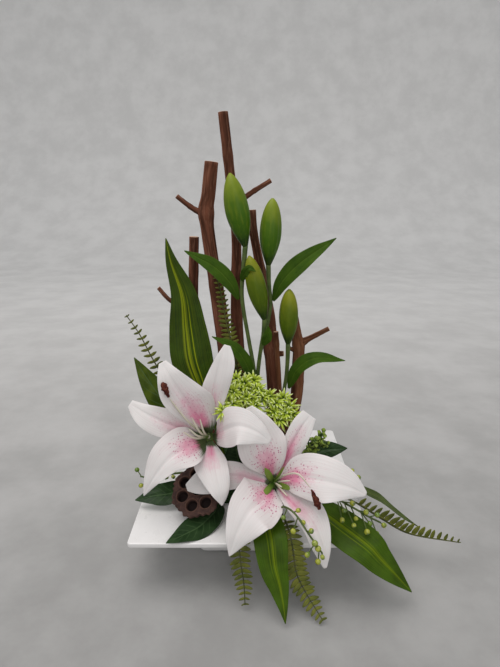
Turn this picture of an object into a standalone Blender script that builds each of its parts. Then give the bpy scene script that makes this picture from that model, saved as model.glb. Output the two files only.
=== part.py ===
"""Ikebana arrangement: cut branches, lilies, buds, ferns and leaves in a square bowl.

Row frame: origin at the centre of the bowl's underside, +Z up, the front of the
arrangement towards -Y.  Every length below is written in millimetres and turned
into metres by mm().
"""
import math

import bpy
import numpy as np
from mathutils import Vector

# ---------------------------------------------------------------- driving sizes
MM = 0.001
RIM_HALF = 125.0          # half side of the bowl's flat rim
RIM_TOP = 64.0            # height of the rim above the table
RIM_THICK = 5.5
FOOT_HALF = 60.5          # half side of the square well, which is also the foot
WALL = 4.0
WELL_FLOOR = 6.0
FIT = 0.3                 # clearance left between resting pieces
FOAM_TOP = 92.0
FOAM_HALF = FOOT_HALF - WALL - FIT
HOLE_FIT = 0.4            # clearance round a stem in the foam
PETAL_THICK = 1.4
LEAF_THICK = 1.2
OUTLINE_STEPS = 11        # even steps at which a blade's half widths are worked out
POD_CENTRE = (-57.0, -80.0, 97.0)     # middle of the pod's face
POD_AXIS = (-0.2, -0.6, 0.78)         # the way the pod's face looks
POD_RADIUS = 28.5
POD_DEPTH = 26.0
SEED_RING = 17.5                      # radius of the ring of seed holes
SEED_COUNT = 7


def mm(x, y, z):
    """Point or vector given in millimetres."""
    return Vector((x * MM, y * MM, z * MM))


def clear_scene():
    for obj in list(bpy.data.objects):
        bpy.data.objects.remove(obj, do_unlink=True)


# ---------------------------------------------------------------- materials
def make_material(name, colour, roughness):
    mat = bpy.data.materials.new(name)
    mat.use_nodes = True
    shader = mat.node_tree.nodes["Principled BSDF"]
    shader.inputs["Base Color"].default_value = (*colour, 1.0)
    shader.inputs["Roughness"].default_value = roughness
    shader.inputs["Metallic"].default_value = 0.0
    return mat


# ---------------------------------------------------------------- shape makers
def ring_skin(rings):
    """Closed skin through rings of points, each of the same count, capped at both ends."""
    size = len(rings[0])
    verts = [point for ring in rings for point in ring]
    faces = []
    for i in range(len(rings) - 1):
        for k in range(size):
            a = i * size + k
            b = i * size + (k + 1) % size
            faces.append((a, b, b + size, a + size))
    faces.append(tuple(range(size))[::-1])
    faces.append(tuple(range(len(verts) - size, len(verts))))
    return verts, faces


def smooth_path(points, stations):
    """Even stations along the Catmull-Rom curve through the given points."""
    pts = np.array([tuple(p) for p in points])
    ext = np.vstack([2 * pts[0] - pts[1], pts, 2 * pts[-1] - pts[-2]])
    t = np.linspace(0.0, 1.0, 24, endpoint=False)[:, None]
    dense = []
    for i in range(len(pts) - 1):
        a, b, c, d = ext[i], ext[i + 1], ext[i + 2], ext[i + 3]
        dense.append(b + 0.5 * t * (c - a)
                     + t ** 2 * (a - 2.5 * b + 2 * c - 0.5 * d)
                     + t ** 3 * (-0.5 * a + 1.5 * b - 1.5 * c + 0.5 * d))
    dense.append(pts[-1:])
    dense = np.vstack(dense)
    run = np.concatenate([[0.0], np.cumsum(np.linalg.norm(np.diff(dense, axis=0), axis=1))])
    want = np.linspace(0.0, run[-1], stations)
    return np.stack([np.interp(want, run, dense[:, k]) for k in range(3)], axis=1)


def sweep(path, half_width, half_thick, face, sides=8, lift=0.0):
    """Closed solid swept along a path.

    Each section is an ellipse of the given half width and half thickness, its
    flat side turned to face, its edges raised by lift times the half width.
    """
    path = np.asarray(path)
    n = len(path)
    tangent = np.gradient(path, axis=0)
    tangent /= np.linalg.norm(tangent, axis=1)[:, None]
    side = np.cross(tangent, np.array(tuple(face)))
    side /= np.linalg.norm(side, axis=1)[:, None]
    up = np.cross(side, tangent)
    wide = np.broadcast_to(half_width, n) * MM
    deep = np.broadcast_to(half_thick, n) * MM
    angle = 2 * math.pi * np.arange(sides) / sides
    rings = (path[:, None, :]
             + side[:, None, :] * (wide[:, None] * np.cos(angle))[:, :, None]
             + up[:, None, :] * (deep[:, None] * np.sin(angle)
                                 + lift * wide[:, None] * np.cos(angle) ** 2)[:, :, None])
    return ring_skin(rings)


def rod(points, radii, stations=8, sides=8):
    """Round rod through the points, its radius running through the radii."""
    path = smooth_path(points, stations)
    at = np.linspace(0.0, 1.0, stations)
    radius = np.interp(at, np.linspace(0.0, 1.0, len(radii)), radii)
    return sweep(path, radius, radius, (0.02, -1.0, 0.03), sides)


def add_object(name, shape, mat):
    """Scene object from (vertices, faces), faces turned outwards."""
    verts, faces = shape
    mesh = bpy.data.meshes.new(name)
    mesh.from_pydata([tuple(v) for v in verts], [], faces)
    mesh.validate()
    volume = 0.0
    for face in faces:
        a = Vector(verts[face[0]])
        for i in range(1, len(face) - 1):
            volume += a.dot(Vector(verts[face[i]]).cross(Vector(verts[face[i + 1]])))
    if volume < 0.0:
        mesh.flip_normals()
    mesh.materials.append(mat)
    obj = bpy.data.objects.new(name, mesh)
    bpy.context.scene.collection.objects.link(obj)
    return obj


def combine(obj, shapes, mat, operation="UNION"):
    """The object joined with, or cut by, every one of the shapes."""
    name = obj.name
    tools = []
    for i, shape in enumerate(shapes):
        tool = add_object(name + "_tool_" + str(i), shape, mat)
        tools.append(tool)
        step = obj.modifiers.new("step_" + str(i), "BOOLEAN")
        step.operation = operation
        step.solver = "EXACT"
        step.object = tool
    bpy.context.view_layer.update()
    solved = obj.evaluated_get(bpy.context.evaluated_depsgraph_get())
    mesh = bpy.data.meshes.new_from_object(solved)
    obj.modifiers.clear()
    obj.data = mesh
    mesh.name = name
    for tool in tools:
        bpy.data.objects.remove(tool, do_unlink=True)
    return obj


def merge(name, base, others, mat, operation="UNION"):
    """One body: base joined with, or cut by, every other shape."""
    return combine(add_object(name, base, mat), others, mat, operation)


def rounded_square(half, corner, z, steps=3):
    """Ring of points: a square of the given half side with round corners."""
    ring = []
    inner = half - corner
    for quarter in range(4):
        cx = inner * (1 if quarter in (0, 3) else -1)
        cy = inner * (1 if quarter in (0, 1) else -1)
        for k in range(steps + 1):
            a = math.pi / 2 * (quarter + k / steps)
            ring.append(mm(cx + corner * math.cos(a), cy + corner * math.sin(a), z))
    return ring


# Every stem stands in a hole of the foam block; the holes are collected here.
foam_holes = []


def rooted(seat, mouth, *beyond, radius):
    """Path that starts at seat inside the foam and runs straight to mouth."""
    start = mm(*seat)
    leave = mm(*mouth)
    run = leave - start
    foot = start - run.normalized() * HOLE_FIT * MM
    bore = (radius + HOLE_FIT) / math.cos(math.pi / 8)
    foam_holes.append(rod([foot, leave], [bore] * 2, 2, 8))
    return [start, start + run * 0.72, leave] + [mm(*p) for p in beyond]


# ---------------------------------------------------------------- bowl and foam
def make_bowl(mat):
    under = RIM_TOP - RIM_THICK
    well = FOOT_HALF - WALL
    rings = [
        rounded_square(FOOT_HALF - 5, 6, 0.0),
        rounded_square(FOOT_HALF - 1.5, 8, 1.5),
        rounded_square(FOOT_HALF, 9, 5.0),
        rounded_square(FOOT_HALF, 9, under - 4),
        rounded_square(FOOT_HALF + 4, 9, under),
        rounded_square(RIM_HALF - 1.2, 3, under),
        rounded_square(RIM_HALF, 3, under + 1.2),
        rounded_square(RIM_HALF, 3, RIM_TOP - 0.9),
        rounded_square(RIM_HALF - 0.9, 3, RIM_TOP),
        rounded_square(well + 1.5, 6, RIM_TOP),
        rounded_square(well, 6, RIM_TOP - 1.5),
        rounded_square(well, 6, WELL_FLOOR),
    ]
    return add_object("bowl", ring_skin(rings), mat)


def make_foam(mat):
    rings = [
        rounded_square(FOAM_HALF, 7, WELL_FLOOR + FIT),
        rounded_square(FOAM_HALF, 7, FOAM_TOP - 5),
        rounded_square(FOAM_HALF - 5, 5, FOAM_TOP),
    ]
    return merge("foam_block", ring_skin(rings), foam_holes, mat, "DIFFERENCE")


# ---------------------------------------------------------------- branches
def make_branch(name, trunk, radii, twigs, mat, stations=12):
    """Trunk of a cut branch with its short side twigs, one piece of wood."""
    shape = rod(trunk, radii, stations, 10)
    sprouts = []
    for points, thick in twigs:
        sprouts.append(rod([mm(*p) for p in points], thick, 4, 8))
    if sprouts:
        return merge(name, shape, sprouts, mat)
    return add_object(name, shape, mat)


def make_branches(mat):
    make_branch(
        "branch_tall",
        rooted((-2, 24, 46), (-5, 24, 112), (-8, 24, 156), (-15, 24, 235), (-16, 24, 300),
               (-16, 24, 363), (-22.5, 24, 429), (-29, 24, 490), radius=7.0),
        [7, 7, 7, 7.5, 7.6, 6.6, 5.6, 6.2, 5.6, 5.4],
        [([(-17, 24, 396), (-6, 24, 402), (8, 24, 411), (23, 24, 420)], [3.6, 3.0, 2.8, 2.6])],
        mat, 13)
    make_branch(
        "branch_thick",
        rooted((-8, 4, 46), (-14, 4, 112), (-22, 4, 170), (-32, 4, 253), (-39, 4, 308),
               (-44, 4, 345), (-48, 4, 385), (-45, 4, 405), (-41, 4, 438), radius=8.4),
        [8.4, 8.4, 8.4, 8.6, 8.8, 8.6, 7.8, 7.2, 8.4, 7.2],
        [([(-46, 4, 384), (-58, 4, 388), (-69, 4, 395), (-79, 4, 403)], [4.2, 3.2, 2.8, 2.6])],
        mat, 14)
    make_branch(
        "branch_short_left",
        rooted((-38, 18, 46), (-43, 17, 112), (-57, 15, 170), (-65, 14, 240), (-66, 14, 286),
               (-63, 14, 359), radius=5.2),
        [5.2, 5.2, 5.4, 5.7, 5.6, 5.4],
        [([(-66, 14, 272), (-80, 14, 280), (-94, 14, 287), (-106, 14, 301)],
          [3.2, 2.7, 2.6, 2.4])],
        mat, 10)
    make_branch(
        "branch_middle",
        rooted((24, 30, 46), (27.5, 30, 112), (30, 30, 167), (26, 30, 218), (24, 30, 261),
               (13, 30, 317), (4, 30, 364), (2, 30, 388), radius=7.6),
        [7.6, 7.6, 7.6, 8.2, 8.8, 6.2, 5.2, 4.6, 4.0, 3.9],
        [([(26, 30, 215), (32, 29, 216), (41, 27, 217)], [4.4, 3.8, 3.4])],
        mat, 12)
    make_branch(
        "branch_thin",
        rooted((40, 12, 46), (38, 12, 112), (36, 13, 174), (31, 15, 248), radius=2.9),
        [2.9, 2.9, 3.2, 3.0],
        [], mat, 6)
    make_branch(
        "branch_right",
        rooted((44, 34, 46), (48, 33, 112), (58, 31, 150), (60, 30, 189), (60, 30, 222),
               (57, 30, 241), (53, 30, 262), radius=7.4),
        [7.4, 7.4, 7.4, 7.8, 7.8, 8.0, 6.6, 5.6],
        [([(62, 30, 229), (70, 30, 234), (83, 30, 241), (96, 30, 248)], [4.0, 3.4, 3.0, 2.8]),
         ([(61, 30, 219), (54, 29, 221), (48, 28, 224)], [3.4, 2.8, 2.4])],
        mat, 9)


# ---------------------------------------------------------------- bud sprays
def make_bud(name, base, middle, tip, radius, mat):
    """Closed lily bud: six-sided spindle, fullest just above its middle."""
    path = smooth_path([mm(*base), mm(*middle), mm(*tip)], 9)
    full = [0.26, 0.52, 0.78, 0.95, 1.0, 0.94, 0.76, 0.46, 0.12]
    size = [radius * f for f in full]
    return add_object(name, sweep(path, size, size, (0.02, -1.0, 0.03), 8), mat)


def make_buds(mat):
    make_bud("bud_1", (-5, -15, 351), (-13, -15, 386), (-21, -14, 426), 13.0, mat)
    make_bud("bud_2", (20, -10, 330), (22, -10, 363), (24, -10, 401), 11.8, mat)
    make_bud("bud_3", (16, -22, 272), (8, -23, 305), (-1, -22, 342), 10.6, mat)
    make_bud("bud_4", (43, -16, 242), (43, -16, 274), (43, -16, 305), 11.0, mat)


def make_bud_stems(mat):
    main = rooted((8, -6, 46), (8, -8, 118), (8, -10, 170), (9, -13, 205), (12, -19, 236),
                  (15, -21, 255), (16, -22, 271.1), radius=2.8)
    left = [mm(8, -11, 186), mm(4, -14, 215), mm(-2, -17, 251), mm(-7, -18, 281),
            mm(-9, -18, 303), mm(-7, -17, 328), mm(-5, -15, 350.1)]
    back = [mm(11, -17, 228), mm(16, -16, 250), mm(21, -12, 272), mm(23, -10, 290),
            mm(21, -10, 310), mm(20, -10, 329.6)]
    merge("bud_spray_stem", rod(main, [2.8, 2.7, 2.6, 2.5, 2.4, 2.3], 9, 6),
          [rod(left, [2.3, 2.3, 2.3, 2.4], 8, 6), rod(back, [2.2, 2.2, 2.2, 2.4], 7, 6)], mat)
    single = rooted((33, -2, 46), (34, -3, 116), (36, -5, 150), (40, -8, 182), (42, -11, 200),
                    (43, -14, 220), (43, -16, 241.6), radius=2.4)
    add_object("bud_single_stem", rod(single, [2.4, 2.4, 2.3, 2.3, 2.4], 8, 6), mat)


def leaf_widths(stations, full, widest=0.45, base=1.4, tip=0.5):
    """Half widths of a pointed leaf, widest at the given fraction of its length."""
    at = np.linspace(0.0, 1.0, stations)
    bend = math.log(0.5) / math.log(widest)
    swell = np.sin(math.pi * at ** bend)
    ends = base + (tip - base) * at
    return ends + (full - ends) * np.clip(swell, 0.0, 1.0)


def make_leaf(name, points, full, face, mat, widest=0.45, lift=0.16, base=1.4,
              thick=LEAF_THICK, stations=9):
    """Lily-type leaf: pointed blade folded a little along its midrib."""
    path = smooth_path([mm(*p) for p in points], stations)
    wide = leaf_widths(stations, full, widest, base)
    deep = np.minimum(wide, thick / 2)
    return add_object(name, sweep(path, wide, deep, face, 8, lift), mat)


def make_bud_leaves(mat):
    make_leaf("bud_leaf_left",
              [(-12.5, -18.8, 294), (-22, -21, 313), (-40, -21, 331), (-70, -20, 347)],
              9.0, (0.1, -1.0, 0.5), mat)
    make_leaf("bud_leaf_right",
              [(25.8, -12, 291), (36, -17, 314), (57, -18, 336), (92, -16, 360)],
              10.0, (-0.1, -1.0, 0.4), mat)
    make_leaf("bud_leaf_low_right",
              [(45, -12, 187), (54, -19, 213), (74, -24, 228), (107, -24, 225)],
              9.0, (-0.1, -0.8, 0.9), mat)
    make_leaf("bud_leaf_low_left",
              [(5.0, -15, 193), (-4, -22, 220), (-18, -26, 241), (-42, -27, 254)],
              8.0, (0.2, -0.9, 0.8), mat)
    make_leaf("bud_sheath_leaf", [(14.8, -23.4, 243), (19, -27, 254), (20, -27, 266)],
              5.5, (0.1, -1.0, 0.2), mat, stations=6, widest=0.5)
    make_leaf("bud_bract", [(-8.9, -20.9, 315), (-6, -28, 321), (-1, -34, 327), (7, -36, 323)],
              5.0, (0.0, -1.0, 0.4), mat, stations=6, widest=0.5)


# ---------------------------------------------------------------- striped and dark leaves
def make_blade(name, points, stalk, outline, face, mat, lift=0.10, stations=12, neck=0.25):
    """Leaf on a round stalk: the stalk runs up to neck of the length, then the blade.

    outline gives the blade's half widths at even steps from its base to its tip.
    """
    path = smooth_path(points, stations)
    at = np.linspace(0.0, 1.0, stations)
    blade = np.clip((at - neck) / (1.0 - neck), 0.0, 1.0)
    wide = np.interp(blade, np.linspace(0.0, 1.0, len(outline)), outline)
    flat = np.clip(blade * 8.0, 0.0, 1.0)
    deep = stalk + (LEAF_THICK / 2 - stalk) * flat
    deep = np.minimum(deep, wide)
    return add_object(name, sweep(path, wide, deep, face, 8, lift), mat)


def oval(stalk, full, widest=0.5):
    """Half widths of a plain pointed leaf, widest at the given fraction."""
    return leaf_widths(OUTLINE_STEPS, full, widest, base=stalk, tip=0.6)


def margin(stalk, full, widest, hollow, blunt, tip=0.6):
    """Half widths that grow to full at widest as a quarter sine to the power hollow,
    then fall to tip by a power, blunt, of what is left of the length."""
    at = np.linspace(0.0, 1.0, OUTLINE_STEPS)
    growing = np.sin(math.pi / 2 * np.minimum(at / widest, 1.0)) ** hollow
    falling = np.maximum(at - widest, 0.0) / (1.0 - widest)
    return stalk + (full - stalk) * growing - (full - tip) * falling ** blunt


def make_striped_leaves(mat):
    make_blade("striped_leaf_upright",
               rooted((-30, -20, 50), (-33, -20, 112), (-43, -20, 150), (-56, -18, 192),
                      (-66, -13, 222), (-71, -5, 257), (-75, 0, 295), (-88, 5, 332),
                      (-94, 8, 358), radius=2.4),
               2.4, margin(2.4, 24.0, 0.37, 0.8, 1.35),
               (0.1, -1.0, 0.15), mat, lift=0.06, stations=16, neck=0.34)
    make_blade("striped_leaf_front",
               rooted((10, -38, 76), (13, -80, 80), (16, -108, 81), (20, -133, 75),
                      (23, -145, 54), (28, -152, 37), (32, -160, 20), (34, -166, 7), radius=2.0),
               2.0, oval(2.0, 17.0, 0.40), (0.1, -0.85, 0.7), mat, 0.12, 13, 0.22)
    make_blade("striped_leaf_right",
               rooted((44, -38, 74), (62, -76, 78), (76, -97, 80), (94, -116, 76),
                      (116, -134, 68), (128, -138, 56), (142, -141, 42), (162, -141, 20),
                      radius=2.0),
               2.0, oval(2.0, 19.0, 0.42), (-0.1, -0.8, 0.8), mat, 0.10, 13, 0.2)
    make_blade("narrow_leaf_right",
               rooted((42, -22, 78), (72, -38, 92), (104, -52, 91), (133, -58, 79),
                      (149, -61, 72), (168, -64, 56), (193, -67, 39), radius=1.8),
               1.8, oval(1.8, 8.0, 0.45), (0.5, 0.5, 0.7), mat, 0.1, 11, 0.3)


def make_dark_leaves(mat):
    make_blade("broad_leaf_left",
               rooted((-38, -30, 56), (-50, -30, 108), (-64, -29, 130), (-88, -27, 162),
                      (-112, -22, 194), (-132, -16, 226), radius=2.0),
               2.0, oval(2.0, 18.0), (-0.2, -1.0, 0.5), mat, 0.10, 10, 0.22)
    make_blade("dark_leaf_front_left",
               rooted((-40, -18, 74), (-70, -38, 76), (-90, -58, 78), (-110, -64, 78),
                      (-129, -66, 74), radius=1.6),
               1.6, oval(1.6, 14.0), (-0.1, -0.65, 0.9), mat, 0.10, 9, 0.25)
    make_blade("dark_leaf_front",
               rooted((-24, -40, 72), (-38, -82, 70.6), (-53, -103, 68.2), (-69, -117, 68),
                      (-84, -129, 68), radius=1.6),
               1.6, oval(1.6, 15.5, 0.46), (0.0, -0.4, 0.9), mat, 0.10, 9, 0.25)
    make_blade("dark_leaf_middle",
               rooted((-4, -34, 60), (-10, -46, 104), (-14, -54, 122), (-16, -62, 148),
                      radius=1.6),
               1.6, oval(1.6, 14.0), (0.0, -1.0, 0.3), mat, 0.10, 9, 0.44)
    make_blade("dark_leaf_right",
               rooted((40, -16, 72), (60, -20, 101), (84, -25, 113), (114, -30, 119),
                      radius=1.6),
               1.6, oval(1.6, 10.5, 0.55), (0.0, -0.9, 0.6), mat, 0.10, 8, 0.3)


# ---------------------------------------------------------------- ferns
def make_fern(name, points, pairs, full, face, mat, bare=0.3, thick=1.0, rib=1.1):
    """Fern frond: midrib with paired leaflets that shorten towards the tip."""
    stations = 3 * pairs + 1
    stalk = 5
    at_stalk = np.linspace(0.0, bare, stalk, endpoint=False)
    at_frond = np.linspace(bare, 1.0, stations)
    dense = smooth_path(points, 240)
    run = np.linspace(0.0, 1.0, 240)
    at = np.concatenate([at_stalk, at_frond])
    path = np.stack([np.interp(at, run, dense[:, k]) for k in range(3)], axis=1)
    wide = [rib + 0.4] * stalk
    deep = [rib + 0.4] * stalk
    for i in range(stations):
        along = i / (stations - 1)
        reach = full * math.sin(math.pi * (0.22 + 0.76 * along)) ** 0.7
        if i % 3 == 0:
            wide.append(rib)
            deep.append(rib * 0.9)
        else:
            wide.append(max(rib, reach))
            deep.append(thick / 2)
    wide[-1] = 0.6
    deep[-1] = 0.5
    return add_object(name, sweep(path, wide, deep, face, 4, 0.05), mat)


def make_ferns(mat):
    make_fern("fern_upper_left",
              rooted((-44, -4, 60), (-52, -3, 112), (-72, -2, 150), (-94, -1, 184),
                     (-112, 0, 214), (-128, 0, 249), (-142, 0, 272), radius=1.5),
              10, 11.0, (0.0, -1.0, 0.1), mat, bare=0.42)
    make_fern("fern_middle",
              rooted((-10, -20, 54), (-10, -20, 112), (-9, -16, 160), (-15, -10, 213),
                     (-26, -9, 262), (-33, -9, 302), (-38, -9, 318), radius=1.5),
              10, 9.0, (0.0, -1.0, 0.1), mat, bare=0.45)
    make_fern("fern_front_left",
              rooted((-10, -38, 68), (-12, -82, 74), (-12, -112, 76), (-11, -131, 68),
                     (-9, -137, 50), (-6, -141, 28), (-5, -145, 8), radius=1.5),
              8, 10.0, (0.0, -1.0, 0.5), mat, bare=0.45)
    make_fern("fern_front_right",
              rooted((26, -38, 68), (32, -82, 73), (38, -110, 76), (42, -129, 67),
                     (46, -138, 42), (53, -144, 27), (63, -153, 14), (71, -161, 5), radius=1.5),
              11, 12.0, (0.1, -1.0, 0.5), mat, bare=0.40)
    make_fern("fern_right",
              rooted((44, -30, 68), (76, -58, 79), (96, -70, 84), (116, -76, 78),
                     (131, -76, 68), (148, -76, 56), (180, -77, 38), (234, -81, 30), radius=1.5),
              12, 10.0, (0.0, -0.8, 0.6), mat, bare=0.45)


# ---------------------------------------------------------------- lilies
LILY_LEFT = (-45.0, -62.0, 150.0)     # bottom of the throat of the left flower
LILY_RIGHT = (25.0, -88.0, 111.0)     # bottom of the throat of the right flower
FACING = (0.0, -0.82, 0.57)           # the way both flowers look
PETAL_RING = 5.2                      # distance of every petal foot from the flower's axis
SEAT_GAP = 0.45                       # gap between a petal's foot and the flared seat


def make_petal(name, throat, turn, points, full, mat, widest=0.5, lift=0.10,
               base=1.8, tip=1.2, stations=11):
    """Free petal: narrow at the throat, broad at its middle, tip bent back.

    Its foot stands on the flared end of the flower stem, at the ring radius,
    turned by the given degrees round the flower's axis.
    """
    look = Vector(FACING).normalized()
    first = Vector(points[0])
    across = Vector((1.0, 0.0, 0.0))
    above = across.cross(-look).normalized()
    outward = across * math.cos(math.radians(turn)) + above * math.sin(math.radians(turn))
    rise = (first - outward * PETAL_RING).normalized()
    height = SEAT_GAP + PETAL_THICK / 2 * math.sqrt(max(0.0, 1.0 - rise.dot(look) ** 2))
    foot = outward * PETAL_RING + look * height
    origin = Vector(throat)
    path = smooth_path([mm(*(origin + p)) for p in [foot] + [Vector(q) for q in points]], stations)
    at = np.linspace(0.0, 1.0, stations)
    bend = math.log(0.5) / math.log(widest)
    swell = np.sin(math.pi * at ** bend) ** 0.9
    ends = base + (tip - base) * at
    wide = ends + (full - ends) * np.clip(swell, 0.0, 1.0)
    deep = np.full(stations, PETAL_THICK / 2)
    return add_object(name, sweep(path, wide, deep, FACING, 8, lift), mat)


def flower_stem(name, path, throat, mat):
    """Flower stem that ends in a flared seat for the petals, just below the throat."""
    look = Vector(FACING).normalized()
    origin = Vector(throat)
    ends = [mm(*(origin - look * d)) for d in (14.0, 5.0, 2.0, 0.0)]
    line = smooth_path(path + ends[:1], 6)
    line = np.vstack([line, [tuple(p) for p in ends[1:]]])
    size = [2.6] * 6 + [3.0, 5.6, 6.2]
    return add_object(name, sweep(line, size, size, (1.0, 0.02, 0.03), 10), mat)


def make_left_lily(petal_mat, stem_mat, stamen_mat, anther_mat):
    t = LILY_LEFT
    make_petal("lily1_petal_upper_left", t, 130,
               [(-6, -13, 22), (-20, -24, 51), (-34, -24, 77), (-43, -17, 92)],
               21.0, petal_mat, widest=0.46)
    make_petal("lily1_petal_top", t, 72,
               [(5, -5, 28), (9, -9, 62), (14, -5, 88), (19, 1, 105)],
               13.5, petal_mat)
    make_petal("lily1_petal_left", t, 190,
               [(-20, -2, 8), (-43, -10, 21), (-63, -9, 31), (-82, -4, 41)],
               16.0, petal_mat)
    make_petal("lily1_petal_lower_left", t, -122,
               [(-17, -22, 1), (-36, -37, -4), (-52, -45, -22), (-63, -47, -41)],
               19.5, petal_mat)
    make_petal("lily1_petal_right", t, 12,
               [(18, -24, 20), (34, -38, 32), (51, -42, 28), (65, -42, 17)],
               20.0, petal_mat)
    make_petal("lily1_petal_bottom", t, -60,
               [(3, -18, -13), (7, -34, -26), (12, -44, -39), (17, -48, -54)],
               17.0, petal_mat)
    stem = rooted((-28, -34, 56), (-35, -42, 112), radius=2.6)
    flower_stem("lily1_stem", stem, t, stem_mat)
    core = rod([mm(-45, -62.3, 150.2), mm(-45, -66, 153)], [2.0, 1.6], 3, 8)
    tips = [(-58, -91, 186), (-78, -95, 210), (-62, -92, 168), (-52, -88, 181), (-56, -94, 172)]
    threads = []
    for i, tip in enumerate(tips):
        end = np.array(tip)
        start = np.array((-45.0, -64.0, 151.5))
        bow = start + (end - start) * 0.5 + np.array((0.0, -8.0, -1.0 + i * 0.4))
        threads.append(rod([mm(*start), mm(*bow), mm(*end)], [1.0, 0.9, 0.8], 6, 6))
    merge("lily1_stamens", core, threads, stamen_mat)
    anther = [mm(-78.2, -95.1, 210.9), mm(-81, -96, 219), mm(-83.5, -95, 226)]
    add_object("lily1_anther", rod(anther, [1.0, 2.4, 2.8, 1.0], 6, 6), anther_mat)


def make_right_lily(petal_mat, stem_mat, stamen_mat, anther_mat):
    t = LILY_RIGHT
    make_petal("lily2_petal_upper_left", t, 118,
               [(-6, -2, 24), (-15, 2, 47), (-21, 8, 67), (-26, 14, 80)],
               25.0, petal_mat)
    make_petal("lily2_petal_top", t, 62,
               [(11, 4, 22), (20, 6, 43), (29, 9, 59), (38, 13, 71)],
               15.0, petal_mat)
    make_petal("lily2_petal_right", t, 6,
               [(24, -22, 19), (48, -36, 24), (70, -40, 20), (88, -39, 11)],
               25.0, petal_mat)
    make_petal("lily2_petal_lower_right", t, -50,
               [(18, -28, -8), (34, -47, -16), (45, -60, -34), (52, -64, -54)],
               16.0, petal_mat)
    make_petal("lily2_petal_lower_left", t, -112,
               [(-11, -24, -3), (-26, -42, -6), (-38, -53, -23), (-45, -58, -44)],
               26.0, petal_mat)
    make_petal("lily2_petal_left", t, 178,
               [(-25, 0, 5), (-48, 1, 7), (-70, 2, 2), (-91, 4, -8)],
               15.5, petal_mat)
    stem = rooted((18, -36, 62), (22, -62, 88), radius=2.6)
    flower_stem("lily2_stem", stem, t, stem_mat)
    core = rod([mm(25, -88.3, 111.2), mm(25, -92, 114)], [2.0, 1.6], 3, 8)
    arms = []
    for reach, size in (((-3, -14, 17), 2.4), ((-8, -14, 2), 2.6), ((14, -16, 8), 2.2),
                        ((9, -12, 18), 1.6)):
        start = np.array((25.0, -91.0, 113.0))
        arms.append(rod([mm(*start), mm(*(start + np.array(reach)))], [1.6, size, 0.8], 4, 6))
    thread = [mm(25, -91, 113), mm(34, -112, 134), mm(46, -129, 146), mm(57.5, -136, 135.5)]
    arms.append(rod(thread, [1.0, 0.9, 0.8], 7, 6))
    merge("lily2_stamens", core, arms, stamen_mat)
    anther = [mm(58.2, -137.1, 134.4), mm(62, -139.6, 126), mm(66, -141.0, 116)]
    add_object("lily2_anther", rod(anther, [0.9, 2.2, 3.4, 1.6], 6, 6), anther_mat)


# ---------------------------------------------------------------- pod, berries, fillers
def make_pod(mat):
    """Dried lotus pod: shallow funnel on a stalk with blind seed holes in its face."""
    centre = mm(*POD_CENTRE)
    axis = Vector(POD_AXIS).normalized()
    back = centre - axis * POD_DEPTH * MM
    profile = [(0.0, 0.26), (0.31, 0.50), (0.62, 0.78), (0.885, 1.02), (1.0, 1.0)]
    path = np.array([tuple(back + axis * POD_DEPTH * along * MM) for along, _ in profile])
    size = [POD_RADIUS * share for _, share in profile]
    funnel = sweep(path, size, size, (0.02, 1.0, 0.03), 20)
    stalk = rooted((-38, -42, 64), (-49, -60, 70), (-52.5, -64, 74.5), radius=2.4)
    stalk_rod = rod(stalk + [back + axis * 6 * MM], [2.4, 2.4, 3.0, 3.6], 6, 8)
    pod = merge("lotus_pod", funnel, [stalk_rod], mat)
    side = axis.cross(Vector((0.0, 0.0, 1.0))).normalized()
    high = side.cross(axis)
    holes = []
    for ring, count in ((0.0, 1), (SEED_RING, SEED_COUNT)):
        for k in range(count):
            turn = 2 * math.pi * (k + 0.3) / count
            spot = centre + (side * math.cos(turn) + high * math.sin(turn)) * ring * MM
            holes.append(rod([spot - axis * 6 * MM, spot + axis * 3 * MM], [4.4, 5.0], 2, 8))
    combine(pod, holes, mat, "DIFFERENCE")


def ball(centre, radius):
    """Small faceted berry."""
    low = centre - Vector((0, 0, radius * MM))
    path = np.array([tuple(low + Vector((0, 0, h * radius * MM))) for h in (0.0, 0.6, 1.4, 2.0)])
    size = [radius * 0.4, radius * 0.97, radius * 0.97, radius * 0.4]
    return sweep(path, size, size, (0.02, -1.0, 0.03), 5)


def make_berry_sprig(name, stem, thick, berries, mat):
    """Thin branching stem with a round berry at the end of each stalk."""
    pieces = []
    bends = smooth_path(stem, 8)
    line = np.vstack([a + (b - a) * k / 8 for a, b in zip(bends, bends[1:]) for k in range(8)])
    for origin, centre in berries:
        away = np.linalg.norm(line - np.array(tuple(mm(*origin))), axis=1)
        fork = Vector(line[int(np.argmin(away))])
        pieces.append(rod([fork, mm(*centre)], [0.8, 0.8], 2, 4))
        pieces.append(ball(mm(*centre), 3.0))
    return merge(name, rod(stem, [thick, thick, 1.1, 1.0], 8, 6), pieces, mat)


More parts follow.
